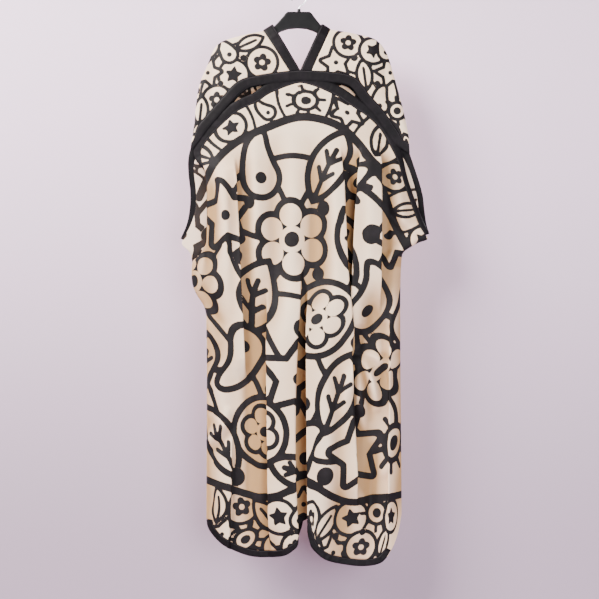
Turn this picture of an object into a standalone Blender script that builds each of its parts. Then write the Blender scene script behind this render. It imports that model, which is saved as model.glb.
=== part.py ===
"""A long, loose kaftan hanging on a clothes hanger, as cloth walls over a moulded hanger.

Lengths are in millimetres until mesh_object() turns them into metres. X runs across the garment,
-Y is its front, and Z is up from the crest of the hook that it hangs by.
"""
import math

import bmesh
import bpy
import numpy as np

MM = 0.001
SEAM_GAP = 0.3
WIDEST_GAP = 1.2
CLOTH = 1.5
BINDING = 2.2
ARCH_BAND = 26.0
ARMHOLE_BAND = 15.0
HEM_BAND = 18.0
# The armholes' binding widens to the arch's between these heights.
BAND_WIDENS = (-470.0, -380.0)
# The top edge is arch where it runs flatter than this and lies above this height.
ARCH_FLATNESS = 0.62
ARCH_FOOT = -440.0

# How far forward or back the cloth hangs from the hanger's middle plane.
FRONT_AT_ARCH = 22.0
FRONT_AT_BODY = 25.0
BACK_AT_ARCH = 16.0
BACK_AT_BODY = 14.0
ARMHOLE_FRONT = 9.0
ARMHOLE_BACK = 7.0
# The front and back lie inside the shoulder pieces' bindings by this much.
LAP = BINDING + SEAM_GAP
ROLL_RADIUS = 8.0
ROLL_TURN = 2.2

# Height where the left side seam starts, below the armhole.
SEAM_TOP = -688.0
# The front's and back's hems part a little where the side seams end.
HEM_PARTING = 1.6
HEM_PARTING_TOP = -1335.0
# The bindings of the armholes end here, just above the side seams.
ARMHOLE_END = -632.0
# Share of a shoulder piece's outer end that its lower binding takes up.
BAND_END = 0.55

# Front and back edges in the plane of the cloth, from the left seam over the arch to the right one.
# Columns: x, z.
FRONT_TOP_EDGE = (
    (-270, -688), (-262, -650), (-257, -601), (-257, -523), (-262, -474), (-272, -440),
    (-276, -414), (-265, -385), (-239, -354), (-203, -320), (-174, -297), (-151, -285),
    (-120, -271), (-94, -253), (-36, -228), (3, -219), (49, -229), (96, -249), (114, -258),
    (140, -276), (164, -292), (198, -315), (234, -351), (263, -398), (281, -440), (289, -481),
    (302, -523), (317, -562), (333, -606), (343, -637),
)
BACK_TOP_EDGE = (
    (-300, -655), (-289, -609), (-286, -565), (-285, -526), (-290, -476), (-290, -440),
    (-281, -405), (-256, -372), (-213, -332), (-160, -291), (-94, -253), (-36, -228), (3, -219),
    (49, -229), (110, -254), (170, -292), (223, -340), (265, -385), (287, -420), (299, -453),
    (317, -507), (325, -539), (329, -575), (334, -609), (342, -637),
)
# The sides from the ends of those edges to the hem. Columns: x, z.
FRONT_LEFT_SIDE = (
    (-270, -688), (-279, -712), (-279, -765), (-269, -792), (-246, -832), (-242, -900), (-242, -1384),
)
FRONT_RIGHT_SIDE = (
    (343, -637), (335, -651), (315, -658), (291, -671), (273, -684), (268, -705), (268, -1366),
)
BACK_LEFT_SIDE = (
    (-300, -655), (-303, -664), (-290, -680), (-281, -700), (-279, -765), (-269, -792), (-246, -832),
    (-242, -900), (-242, -1384),
)
BACK_RIGHT_SIDE = (
    (342, -637), (335, -651), (315, -658), (291, -671), (273, -684), (268, -705), (268, -1366),
)
# Two rounded lobes with a notch between them. Columns: x, z.
HEM_EDGE = (
    (-242, -1384), (-239, -1398), (-229, -1415), (-198, -1443), (-148, -1467), (-94, -1477),
    (-34, -1467), (-8, -1444), (3, -1412), (9, -1386), (17, -1376), (26, -1384), (30, -1410),
    (36, -1446), (62, -1475), (112, -1493), (172, -1500), (216, -1490), (242, -1455), (258, -1414),
    (268, -1366),
)

# Each fold is an edge with cloth that stands proud on one side of it and eases back to the rest.
# Columns: top, bottom, x at top, middle and bottom, side (1 is to the right), rise, softness of
# the edge, reach of the rise, fade at the top, fade at the bottom.
FRONT_FOLDS = (
    (-500, -1090, -166, -146, -143, -1, 17, 12, 95, 90, 160),
    (-760, -1600, -83, -78, -75, 1, 20, 12, 95, 190, 1),
    (-740, -1600, 16, 3, -13, -1, 20, 12, 85, 150, 1),
    (-760, -1600, 22, 24, 30, 1, 24, 12, 125, 150, 1),
    (-420, -1370, 122, 136, 152, -1, 19, 13, 110, 150, 120),
    (-420, -960, 150, 143, 138, 1, 21, 12, 62, 90, 90),
    (-370, -860, 212, 211, 212, -1, 20, 12, 62, 90, 110),
    (-800, -1440, 236, 233, 230, 1, 9, 13, 30, 100, 100),
    (-1080, -1600, -172, -176, -186, -1, 12, 16, 60, 160, 1),
)
BACK_FOLDS = (
    (-430, -1600, -190, -178, -160, -1, 8, 24, 60, 250, 1),
    (-520, -1600, -104, -96, -82, 1, 9, 22, 70, 300, 1),
    (-460, -1600, 30, 22, 8, -1, 8, 26, 70, 300, 1),
    (-480, -1600, 96, 104, 116, 1, 9, 24, 70, 300, 1),
    (-420, -1600, 196, 198, 206, -1, 8, 24, 60, 260, 1),
)
# Rounded fullness with no edge. Columns: x, z, half width, half height, rise.
FRONT_SWELLS = (
    (-222, -752, 40, 85, 9),
    (184, -1035, 36, 85, 12),
    (-196, -560, 34, 120, 7),
    (0, -420, 90, 120, 3),
    (232, -500, 30, 90, 6),
)
BACK_SWELLS = (
    (-224, -752, 42, 90, 4),
    (0, -380, 120, 130, 4),
    (150, -1050, 70, 200, 3),
)
# x where the front's left edge starts to roll back, by height. Columns: z, x.
ROLL_LINE = ((-640, -232), (-601, -231), (-523, -231), (-474, -236), (-440, -246))

# The line over each shoulder, from the neck binding to the top of the armhole. Columns: x, z.
LEFT_SHOULDER = (
    (-94, -104), (-150, -119), (-202, -133), (-221, -149), (-242, -198), (-262, -253), (-268, -290),
    (-273, -340), (-279, -380),
)
RIGHT_SHOULDER = (
    (83, -102), (140, -113), (190, -124), (211, -138), (230, -165), (244, -203), (257, -253),
    (270, -300), (286, -380),
)
# Lower edge of each shoulder piece, from the middle of the chest to the armhole. Columns: x, z.
LEFT_YOKE_EDGE = (
    (2.8, -237), (-36, -241), (-94, -249), (-138, -259), (-158, -273), (-177, -294), (-208, -328),
    (-236, -360), (-262, -394), (-284, -424),
)
RIGHT_YOKE_EDGE = (
    (3.2, -237), (42, -239), (81, -242), (118, -247), (136, -256), (163, -291), (197, -328),
    (227, -369), (252, -402), (289, -428),
)
# Where each neck binding's edges cross the shoulder, as x and z, and x of its outer edge's foot.
LEFT_NECK = {"inner": (-69, -88), "outer": (-94, -104), "foot": -25}
RIGHT_NECK = {"inner": (60, -87), "outer": (83, -102), "foot": 34}

HANGER_THICK = 8.0
HANGER_EASE = 4.8
HANGER_DEPTH = 24.0
HANGER_HALF = 205.0
HANGER_ROUND = 3.4
HANGER_TOP = -55.0
# Upper and lower edges of the hanger between its arms. Columns: x, z.
NECK_BLOCK = (
    (-86, -109), (-76, -103), (-67, -95), (-58, -86), (-49, -76), (-41, -67), (-36, -60), (-30, HANGER_TOP),
    (28, HANGER_TOP), (34, -60), (39, -67), (46, -76), (54, -86), (61, -94), (68, -101), (77, -107.5),
)
UNDERSIDE = ((57, -118), (40, -108), (20, -101), (-3, -99), (-28, -101), (-48, -108), (-66, -119))

COLLAR_RADIUS = 4.6
COLLAR_HEIGHT = 7.0
HOOK_WIRE = 3.4
HOOK_RADIUS = 19.7
HOOK_FROM = -40.0
HOOK_TO = 205.0

COLOURS = {
    "satin": ((0.80, 0.70, 0.60), 0.42, 0.0),
    "binding": ((0.036, 0.031, 0.036), 0.45, 0.0),
    "plastic": ((0.008, 0.008, 0.010), 0.38, 0.0),
    "steel": ((0.42, 0.42, 0.44), 0.30, 1.0),
}


def clear_scene():
    for obj in list(bpy.data.objects):
        bpy.data.objects.remove(obj, do_unlink=True)


def material(name):
    found = bpy.data.materials.get(name)
    if found:
        return found
    colour, roughness, metallic = COLOURS[name]
    made = bpy.data.materials.new(name)
    made.use_nodes = True
    shader = made.node_tree.nodes["Principled BSDF"]
    shader.inputs["Base Color"].default_value = (*colour, 1.0)
    shader.inputs["Roughness"].default_value = roughness
    shader.inputs["Metallic"].default_value = metallic
    return made


def ease(q):
    """0 below 0, 1 above 1, smooth between."""
    q = np.clip(q, 0.0, 1.0)
    return q * q * (3.0 - 2.0 * q)


def curve_through(table, count=400):
    """Evenly spaced points on a smooth curve through the rows of a table."""
    rows = np.array(table, float)
    ends = np.vstack([2 * rows[0] - rows[1], rows, 2 * rows[-1] - rows[-2]])
    steps = np.linalg.norm(np.diff(ends, axis=0), axis=1) ** 0.5
    knots = np.concatenate([[0.0], np.cumsum(steps)])
    out = []
    for i in range(1, len(ends) - 2):
        t0, t1, t2, t3 = knots[i - 1:i + 3]
        p0, p1, p2, p3 = ends[i - 1:i + 3]
        t = np.linspace(t1, t2, 24, endpoint=False)[:, None]
        a1 = (t1 - t) / (t1 - t0) * p0 + (t - t0) / (t1 - t0) * p1
        a2 = (t2 - t) / (t2 - t1) * p1 + (t - t1) / (t2 - t1) * p2
        a3 = (t3 - t) / (t3 - t2) * p2 + (t - t2) / (t3 - t2) * p3
        b1 = (t2 - t) / (t2 - t0) * a1 + (t - t0) / (t2 - t0) * a2
        b2 = (t3 - t) / (t3 - t1) * a2 + (t - t1) / (t3 - t1) * a3
        out.append((t2 - t) / (t2 - t1) * b1 + (t - t1) / (t2 - t1) * b2)
    out.append(rows[-1:])
    return spaced(np.vstack(out), count)


def spaced(points, count):
    """A line again, as evenly spaced points."""
    along = np.concatenate([[0.0], np.cumsum(np.linalg.norm(np.diff(points, axis=0), axis=1))])
    at = np.linspace(0.0, along[-1], count)
    return np.stack([np.interp(at, along, points[:, k]) for k in range(points.shape[1])], axis=1)


def offset(points, distance):
    """The points moved to the right of their direction by a distance, which may vary."""
    d = np.gradient(points, axis=0)
    d /= np.linalg.norm(d, axis=1)[:, None]
    side = np.stack([d[:, 1], -d[:, 0]], axis=1)
    return points + side * np.reshape(distance, (-1, 1))


def read_along(key, values, at):
    """np.interp for a key that may run down or turn back a little."""
    order = np.argsort(key, kind="stable")
    return np.interp(at, key[order], values[order])


class Panel:
    """A front or back in the plane of the cloth: an arched top with armholes, sides and a hem."""

    def __init__(self, top, left, right):
        self.outer = curve_through(top, 900)
        self.left = curve_through(left)
        self.right = curve_through(right)
        self.hem_outer = curve_through(HEM_EDGE, 700)
        upper = ease((self.outer[:, 1] - BAND_WIDENS[0]) / (BAND_WIDENS[1] - BAND_WIDENS[0]))
        self.inner = offset(self.outer, ARMHOLE_BAND + (ARCH_BAND - ARMHOLE_BAND) * upper)
        run = np.gradient(self.outer, axis=0)
        flatness = np.abs(run[:, 0]) / np.linalg.norm(run, axis=1)
        arch = np.flatnonzero((flatness > ARCH_FLATNESS) & (self.outer[:, 1] > ARCH_FOOT))
        self.first, self.last = arch[0], arch[-1]
        self.hem_inner = offset(self.hem_outer, -HEM_BAND)

    def side(self, z, right):
        """x at height z of the cloth's own side, inside any binding, and of the outer edge."""
        edge = self.right if right else self.left
        part = slice(self.last, None) if right else slice(self.first, None, -1)
        x_inner = read_along(self.inner[part, 1], self.inner[part, 0], z)
        x_outer = read_along(self.outer[part, 1], self.outer[part, 0], z)
        x_seam = read_along(edge[:, 1], edge[:, 0], z)
        seam_top = edge[0, 1]
        below = ease((seam_top + 4.0 - z) / 26.0)
        return x_inner * (1 - below) + x_seam * below, np.where(z < seam_top, x_seam, x_outer)

    def top(self, x):
        arch = self.inner[self.first:self.last + 1]
        return np.interp(x, arch[:, 0], arch[:, 1])

    def arch(self, x):
        arch = self.outer[self.first:self.last + 1]
        return np.interp(x, arch[:, 0], arch[:, 1])

    def hem(self, x):
        return np.interp(x, self.hem_inner[:, 0], self.hem_inner[:, 1])

    def across(self, x, z):
        """Place across the panel: -1 at its left edge and 1 at its right."""
        left = self.side(z, False)[1]
        right = self.side(z, True)[1]
        return np.clip((2 * x - left - right) / (right - left), -1.0, 1.0)


FRONT = Panel(FRONT_TOP_EDGE, FRONT_LEFT_SIDE, FRONT_RIGHT_SIDE)
BACK = Panel(BACK_TOP_EDGE, BACK_LEFT_SIDE, BACK_RIGHT_SIDE)


def fold_rise(fold, z):
    top, bottom, rise = fold[0], fold[1], fold[6]
    return rise * ease((top - z) / fold[9]) * ease((z - bottom) / fold[10])


def fold_edge(fold, z):
    """x of a fold's edge: a parabola through its three places."""
    top, bottom, x_top, x_middle, x_bottom = fold[:5]
    q = (top - z) / (top - bottom)
    return x_top * (1 - q) * (1 - 2 * q) + 4 * x_middle * q * (1 - q) + x_bottom * q * (2 * q - 1)


def relief(folds, swells, x, z):
    """How far the cloth stands out from its plain form."""
    out = np.zeros_like(x)
    for fold in folds:
        side, softness, reach = fold[5], fold[7], fold[8]
        q = (x - fold_edge(fold, z)) * side
        out += fold_rise(fold, z) * ease(0.5 + q / (2 * softness)) * (1 - ease(q / reach))
    for x0, z0, half_width, half_height, rise in swells:
        out += rise * np.exp(-((x - x0) / half_width) ** 2 - ((z - z0) / half_height) ** 2)
    return out


def chest_depth(x, middle, armhole):
    """Depth of the shoulder pieces' lower binding, less towards the armholes."""
    return middle + (armhole - middle) * ease((np.abs(x) - 150.0) / 130.0)


def hanging(panel, x, z, at_arch, at_body, at_armhole, folds, swells):
    """How far a front or back hangs from the middle plane."""
    q = panel.across(x, z)
    section = (1 - np.abs(q) ** 6) ** 0.5
    in_seam = ease((SEAM_TOP + 40.0 - z) / 50.0)
    edge = at_armhole * (1 - in_seam) + SEAM_GAP / 2 * in_seam
    edge = edge + HEM_PARTING * ease((HEM_PARTING_TOP - z) / 30.0)
    body = edge + (at_body - edge) * section
    body = body + relief(folds, swells, x, z) * (1 - q ** 8)
    lap = LAP + 1.2 * ease((np.abs(x) - 170.0) / 60.0)
    arch = chest_depth(x, at_arch, at_armhole) - lap
    below = ease((panel.arch(x) - 34.0 - z) / 110.0)
    return arch * (1 - below) + body * below


def front_form(x, z):
    """A point of the front's middle surface for a place in the plane of the cloth."""
    out = hanging(FRONT, x, z, FRONT_AT_ARCH, FRONT_AT_BODY, ARMHOLE_FRONT, FRONT_FOLDS, FRONT_SWELLS)
    line = read_along(*np.array(ROLL_LINE, float).T, z)
    beside = line - x
    window = ease((z - SEAM_TOP) / 40.0) * ease((-436.0 - z) / 50.0)
    turn = np.clip(beside / ROLL_RADIUS, 0.0, ROLL_TURN)
    x_rolled = np.where(beside > 0, line - ROLL_RADIUS * np.sin(turn), x)
    near = 1 - ease(-beside / 30.0)
    rolled = FRONT_AT_ARCH - ROLL_RADIUS * (1 - np.cos(turn))
    out = out + (rolled - out) * near * window
    return np.stack([x + (x_rolled - x) * window, -out, z], axis=-1)


def back_form(x, z):
    """The same for the back."""
    out = hanging(BACK, x, z, BACK_AT_ARCH, BACK_AT_BODY, ARMHOLE_BACK, BACK_FOLDS, BACK_SWELLS)
    return np.stack([x, out, z], axis=-1)


def surface(form, x, z):
    """Points of a form and its unit normals."""
    e = 1.0
    normal = np.cross(form(x + e, z) - form(x - e, z), form(x, z + e) - form(x, z - e))
    normal /= np.linalg.norm(normal, axis=-1)[..., None] + 1e-9
    return form(x, z), normal


def mesh_object(name, points, faces, colour):
    mesh = bpy.data.meshes.new(name)
    mesh.from_pydata([tuple(p) for p in np.asarray(points) * MM], [], faces)
    body = bmesh.new()
    body.from_mesh(mesh)
    bmesh.ops.recalc_face_normals(body, faces=body.faces)
    body.to_mesh(mesh)
    body.free()
    mesh.shade_smooth()
    mesh.set_sharp_from_angle(angle=0.9)
    mesh.materials.append(material(colour))
    obj = bpy.data.objects.new(name, mesh)
    bpy.context.scene.collection.objects.link(obj)
    return obj


def wall(name, middle, normal, thickness, colour):
    """A cloth wall of even thickness about a grid of points, closed round its rim."""
    rows, columns = middle.shape[:2]
    half = normal * (thickness / 2)
    points = np.concatenate([(middle + half).reshape(-1, 3), (middle - half).reshape(-1, 3)])
    count = rows * columns
    index = np.arange(count).reshape(rows, columns)
    a, b = index[:-1, :-1].ravel(), index[:-1, 1:].ravel()
    c, d = index[1:, 1:].ravel(), index[1:, :-1].ravel()
    outside = np.stack([a, b, c, d], axis=1)
    inside = np.stack([d, c, b, a], axis=1) + count
    rim = np.concatenate([index[0, :], index[1:, -1], index[-1, -2::-1], index[-2:0:-1, 0]])
    after = np.roll(rim, -1)
    around = np.stack([after, rim, rim + count, after + count], axis=1)
    faces = np.concatenate([outside, inside, around]).tolist()
    return mesh_object(name, points, faces, colour)


def column_places(count):
    """Places from 0 to 1, closer together at the sides and at the notch in the hem."""
    fine = np.linspace(0.0, 1.0, 2001)
    density = 1.0 + 2.0 * np.exp(-((fine - 0.51) / 0.035) ** 2)
    density += 1.6 * np.exp(-(fine / 0.04) ** 2) + 1.6 * np.exp(-((1 - fine) / 0.04) ** 2)
    total = np.concatenate([[0.0], np.cumsum((density[1:] + density[:-1]) / 2)])
    return np.interp(np.linspace(0.0, total[-1], count), total, fine)


def panel_grid(panel, rows, columns):
    """Places of a panel's grid in the plane of the cloth, inside its bindings."""
    s = column_places(columns)
    t = np.linspace(0.0, 1.0, rows)[:, None]
    arch = panel.inner[panel.first:panel.last + 1]
    x_top = arch[0, 0] + s * (arch[-1, 0] - arch[0, 0])
    x_hem = panel.hem_outer[0, 0] + s * (panel.hem_outer[-1, 0] - panel.hem_outer[0, 0])
    for end in (0, -1):
        corner = panel.hem_inner[end, 0]
        x_hem[np.argmin(np.abs(x_hem - corner))] = corner
    z_top = panel.top(x_top)
    z_hem = panel.hem(x_hem)
    level_top, level_hem = z_top.mean(), z_hem.mean()
    z = level_top + (level_hem - level_top) * t
    z = z + (z_top - level_top) * (1 - t) ** 2.5 + (z_hem - level_hem) * t ** 3
    left = panel.side(z, False)[0]
    right = panel.side(z, True)[0]
    x = left + s * (right - left)
    x[0], x[-1] = x_top, x_hem
    z[0], z[-1] = z_top, z_hem
    return x, z


def opposite(points, inner, outer):
    """The places on the outer line across from points on the inner one, in order and apart."""
    nearest = np.array([float(np.argmin(((inner - p) ** 2).sum(axis=1))) for p in points])
    order = np.arange(len(nearest))
    least = 1.0
    nearest = np.maximum.accumulate(nearest - least * order) + least * order
    nearest = np.minimum(nearest, len(outer) - 1 - least * order[::-1])
    at = np.arange(len(outer))
    return np.stack([np.interp(nearest, at, outer[:, k]) for k in (0, 1)], axis=1)


def seam_gap(normal):
    """The gap at a seam, wider where the cloth turns steeply into a fold."""
    return np.minimum(SEAM_GAP * (1 + 8 * (1 - np.abs(normal[:, 1]))), WIDEST_GAP)


def strip(name, form, inner, outer):
    """A binding between two lines in the plane of the cloth, clear of the inner one."""
    step = outer - inner
    step /= np.linalg.norm(step, axis=1)[:, None]
    along = np.gradient(inner, axis=0)
    along /= np.linalg.norm(along, axis=1)[:, None]
    square = np.abs(along[:, 0] * step[:, 1] - along[:, 1] * step[:, 0])
    gap = seam_gap(surface(form, inner[:, 0], inner[:, 1])[1]) / np.clip(square, 0.25, 1.0)
    start = inner + step * gap[:, None]
    grid = np.stack([start, (start + outer) / 2, outer], axis=0)
    middle, normal = surface(form, grid[..., 0], grid[..., 1])
    return wall(name, middle, normal, BINDING, "binding")


def panel_solids(panel, form, side, rows, columns, border):
    """The panel, its border along the hem, which has border rows, and the bindings of its top and hem."""
    x, z = panel_grid(panel, rows, columns)
    middle, normal = surface(form, x, z)
    for end in (0, -1):
        seam = z[:, end] < SEAM_TOP + 60.0
        normal[seam, end, 1] = 0.0
        middle[seam, end, 1] = np.sign(middle[seam, end, 1]) * np.maximum(abs(middle[seam, end, 1]), SEAM_GAP)
    normal /= np.linalg.norm(normal, axis=-1)[..., None]
    parting = rows - 1 - border
    wall(side + "_panel", middle[:parting + 1], normal[:parting + 1], CLOTH, "satin")
    below = middle[parting:].copy()
    below[0, :, 2] -= seam_gap(normal[parting])
    wall(side + "_hem_border", below, normal[parting:], CLOTH, "satin")
    up = [j for j in range(rows - 1, 0, -1) if z[j, 0] > ARMHOLE_END]
    down = [j for j in range(1, rows) if z[j, -1] > ARMHOLE_END]
    rim = [(x[j, 0], z[j, 0]) for j in up] + list(zip(x[0], z[0])) + [(x[j, -1], z[j, -1]) for j in down]
    rim = np.array(rim)
    strip(side + "_top_band", form, rim, opposite(rim, panel.inner, panel.outer))
    hem = np.stack([x[-1], z[-1]], axis=1)
    ends = panel.hem_inner[[0, -1], 0]
    hem = hem[(hem[:, 0] > ends[0] - 0.01) & (hem[:, 0] < ends[1] + 0.01)]
    hem[[0, -1], 1] -= SEAM_GAP
    outer = opposite(hem, panel.hem_inner, panel.hem_outer)
    outer[[0, -1], 1] -= SEAM_GAP
    strip(side + "_hem_band", form, hem, outer)


def drop(share):
    """How far out the cloth is when it has fallen by a share of its way down from the shoulder."""
    return (1 - (1 - share) ** 4) ** 0.5


def over_shoulder(x, z, share, forward):
    """A point of a shoulder piece. share runs from 0 on the shoulder line to 1 at its lower edge."""
    if forward:
        y = -chest_depth(x, FRONT_AT_ARCH, ARMHOLE_FRONT) * drop(share)
    else:
        y = chest_depth(x, BACK_AT_ARCH, ARMHOLE_BACK) * drop(share)
    return np.stack([x, y, z], axis=-1)


def grid_normals(points):
    """Unit normals of a grid of points."""
    normal = np.cross(np.gradient(points, axis=1), np.gradient(points, axis=0))
    return normal / (np.linalg.norm(normal, axis=-1)[..., None] + 1e-9)


def falls(count):
    """Shares from 0 to 1, closer together at the shoulder."""
    return np.linspace(0.0, 1.0, count) ** 1.8


def both_ways(top, bottom, share_at_bottom, count):
    """A grid from a lower edge at the front, over the shoulder line, to the same edge at the back."""
    halves = []
    for forward in (True, False):
        t = falls(count)[:, None]
        x = top[:, 0] + (bottom[:, 0] - top[:, 0]) * t
        z = top[:, 1] + (bottom[:, 1] - top[:, 1]) * t
        halves.append(over_shoulder(x, z, t * share_at_bottom, forward))
    return np.concatenate([halves[0][::-1], halves[1][1:]])


def shoulder_solids(side, shoulder, lower, neck, columns=12, falls_count=7):
    """One shoulder piece with its neck binding and the two lower bindings."""
    sign = -1 if side == "left" else 1
    edge = curve_through(lower)
    upper = offset(edge, -sign * ARCH_BAND)
    along = np.linspace(0.0, 1.0, len(edge))[:, None]
    first = edge[0] + (0.0, ARCH_BAND)
    last = edge[-1] + (np.array(shoulder[-1]) - edge[-1]) * BAND_END
    upper += (first - upper[0]) * (1 - ease(along / 0.12)) + (last - upper[-1]) * ease((along - 0.8) / 0.2)
    start = int(np.argmin(np.abs(upper[:, 0] - neck["foot"])))
    top = spaced(curve_through(shoulder), columns)
    at = np.linspace(start, len(edge) - 1, columns)
    order = np.arange(len(edge))
    seam = offset(upper, -sign * 1.6 * SEAM_GAP)
    bottom = np.stack([np.interp(at, order, seam[:, k]) for k in (0, 1)], axis=1)
    foot = np.stack([np.interp(at, order, edge[:, k]) for k in (0, 1)], axis=1)
    tall = np.linalg.norm(top - bottom, axis=1)
    share = tall / (tall + np.linalg.norm(bottom - foot, axis=1))
    clear = sign * SEAM_GAP
    cloth_top = top + np.array([clear, 0.0]) * (np.arange(columns) == 0)[:, None]
    middle = both_ways(cloth_top, bottom, share, falls_count)
    wall("yoke_" + side, middle, grid_normals(middle), CLOTH, "satin")
    inner, outer = np.array(neck["inner"], float), np.array(neck["outer"], float)
    neck_top = np.array([inner, (inner + outer) / 2, outer - (clear, 0.0)])
    neck_foot = upper[[0, start // 2, start]] + (0.0, SEAM_GAP)
    neck_foot[2, 0] -= clear
    middle = both_ways(neck_top, neck_foot, share[0], falls_count + 2)
    wall("neck_band_" + side, middle, grid_normals(middle), BINDING, "binding")
    lead = np.linspace(0, start, 4)[:-1]
    at = np.concatenate([lead, at])
    shares = np.concatenate([np.full(len(lead), share[0]), share])
    high = np.stack([np.interp(at, order, upper[:, k]) for k in (0, 1)], axis=1)
    low = np.stack([np.interp(at, order, edge[:, k]) for k in (0, 1)], axis=1)
    for name, forward in (("front", True), ("back", False)):
        t = np.linspace(0.0, 1.0, 3)[:, None]
        x = high[:, 0] + (low[:, 0] - high[:, 0]) * t
        z = high[:, 1] + (low[:, 1] - high[:, 1]) * t
        middle = over_shoulder(x, z, shares + (1 - shares) * t, forward)
        wall(f"yoke_band_{name}_{side}", middle, grid_normals(middle), BINDING, "binding")


def hanger_outline():
    """The hanger's outline seen from the front."""
    left = [p for p in spaced(curve_through(LEFT_SHOULDER), 60) if -HANGER_HALF < p[0] < -96]
    right = [p for p in spaced(curve_through(RIGHT_SHOULDER), 60) if 86 < p[0] < HANGER_HALF - 8]
    left = np.array(left[::4])
    right = np.array(right[::4])
    top = [*(left[::-1] - (0, HANGER_EASE)), *np.array(NECK_BLOCK, float), *(right - (0, HANGER_EASE))]
    under = [*(right[::-1] - (0, HANGER_DEPTH)), *np.array(UNDERSIDE, float), *(left - (0, HANGER_DEPTH))]
    return np.array(top + under)


def hanger_body():
    outline = hanger_outline()
    count = len(outline)
    half = HANGER_THICK / 2
    points = [(x, -half, z) for x, z in outline] + [(x, half, z) for x, z in outline]
    around = [(i, (i + 1) % count, (i + 1) % count + count, i + count) for i in range(count)]
    faces = [tuple(range(count)), tuple(range(2 * count - 1, count - 1, -1)), *around]
    body = mesh_object("hanger_body", points, faces, "plastic")
    bevel = body.modifiers.new("rounded edges", "BEVEL")
    bevel.width = HANGER_ROUND * MM
    bevel.segments = 3
    bevel.limit_method = "ANGLE"
    bevel.angle_limit = math.radians(60)
    return body


def hanger_collar():
    turns = [2 * math.pi * i / 16 for i in range(16)]
    rings = [(COLLAR_RADIUS, SEAM_GAP), (COLLAR_RADIUS, COLLAR_HEIGHT - 1.5), (COLLAR_RADIUS - 1.2, COLLAR_HEIGHT)]
    points = [(r * math.cos(a), r * math.sin(a), HANGER_TOP + h) for r, h in rings for a in turns]
    faces = [tuple(range(16)), tuple(range(32, 48))]
    faces += [(k + i, k + (i + 1) % 16, k + 16 + (i + 1) % 16, k + 16 + i) for k in (0, 16) for i in range(16)]
    return mesh_object("hanger_collar", points, faces, "plastic")


def hook_path():
    """The wire's middle line: up from the collar, out to one side and over the crest."""
    root = HANGER_TOP + COLLAR_HEIGHT + SEAM_GAP
    centre = HOOK_WIRE / 2 - HOOK_RADIUS
    first = math.radians(HOOK_FROM)
    join = np.array([HOOK_RADIUS * math.cos(first), centre + HOOK_RADIUS * math.sin(first)])
    heading = np.array([-math.sin(first), math.cos(first)])
    foot = np.array([[0.0, root]])
    a, b = np.array([0.0, root + 1.5]), np.array([0.0, root + 6.0])
    c = join - heading * 7.0
    t = np.linspace(0.0, 1.0, 9)[:-1, None]
    stem = a * (1 - t) ** 3 + 3 * b * t * (1 - t) ** 2 + 3 * c * t ** 2 * (1 - t) + join * t ** 3
    turns = np.radians(np.linspace(HOOK_FROM, HOOK_TO, 25))[:, None]
    loop = np.concatenate([HOOK_RADIUS * np.cos(turns), centre + HOOK_RADIUS * np.sin(turns)], axis=1)
    return np.vstack([foot, stem, loop])


def hanger_hook():
    curve = bpy.data.curves.new("hanger_hook", "CURVE")
    curve.dimensions = "3D"
    curve.bevel_depth = HOOK_WIRE / 2 * MM
    curve.bevel_resolution = 2
    curve.use_fill_caps = True
    line = curve.splines.new("POLY")
    path = hook_path()
    line.points.add(len(path) - 1)
    for point, (x, z) in zip(line.points, path):
        point.co = (x * MM, 0.0, z * MM, 1.0)
    curve.materials.append(material("steel"))
    hook = bpy.data.objects.new("hanger_hook", curve)
    bpy.context.scene.collection.objects.link(hook)
    return hook


def main():
    clear_scene()
    panel_solids(FRONT, front_form, "front", rows=32, columns=38, border=3)
    panel_solids(BACK, back_form, "back", rows=20, columns=24, border=2)
    shoulder_solids("left", LEFT_SHOULDER, LEFT_YOKE_EDGE, LEFT_NECK)
    shoulder_solids("right", RIGHT_SHOULDER, RIGHT_YOKE_EDGE, RIGHT_NECK)
    hanger_body()
    hanger_collar()
    hanger_hook()


main()
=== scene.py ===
"""The look of a long satin kaftan on a clothes hanger, on the frame of its CAD model.

Lengths are in millimetres until mesh_piece() turns them into metres. X runs across the garment,
-Y is its front, and Z is up from the crest of the hook that it hangs by.
"""
import math

import bpy
import numpy as np
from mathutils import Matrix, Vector


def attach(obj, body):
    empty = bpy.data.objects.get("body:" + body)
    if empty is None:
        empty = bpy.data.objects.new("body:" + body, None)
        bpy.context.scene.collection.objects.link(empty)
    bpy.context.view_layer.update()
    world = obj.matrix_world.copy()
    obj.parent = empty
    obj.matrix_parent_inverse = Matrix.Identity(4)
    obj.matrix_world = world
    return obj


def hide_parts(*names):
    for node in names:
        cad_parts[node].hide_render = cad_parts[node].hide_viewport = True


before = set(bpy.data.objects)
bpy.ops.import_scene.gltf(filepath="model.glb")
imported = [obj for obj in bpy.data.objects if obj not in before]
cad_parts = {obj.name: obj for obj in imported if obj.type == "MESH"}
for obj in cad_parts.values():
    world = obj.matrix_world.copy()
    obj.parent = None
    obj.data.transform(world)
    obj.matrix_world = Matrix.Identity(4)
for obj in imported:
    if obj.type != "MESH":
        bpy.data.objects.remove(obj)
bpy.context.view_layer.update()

MM = 0.001
SEAM_GAP = 0.3
BINDING = 2.2
ARCH_BAND = 26.0
ARMHOLE_BAND = 15.0
HEM_BAND = 18.0
# The band along the arch narrows to an armhole's below this height, and the left armhole's binding on the
# back narrows again below the other one. Each change takes BAND_CHANGE.
ARCH_BAND_FROM = -470.0
TIP_FROM = -560.0
BAND_CHANGE = 90.0
# The top edge counts as the arch down to here.
ARCH_FOOT = -440.0
# The hem's binding is drawn together in the notch between the lobes: where, how far to each side, from
# what height, over what rise, and by what share of its width.
NOTCH_AT = 10.0
NOTCH_REACH = 30.0
NOTCH_FOOT = -1480.0
NOTCH_RISE = 50.0
NOTCH_THINNING = 0.5
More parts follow.
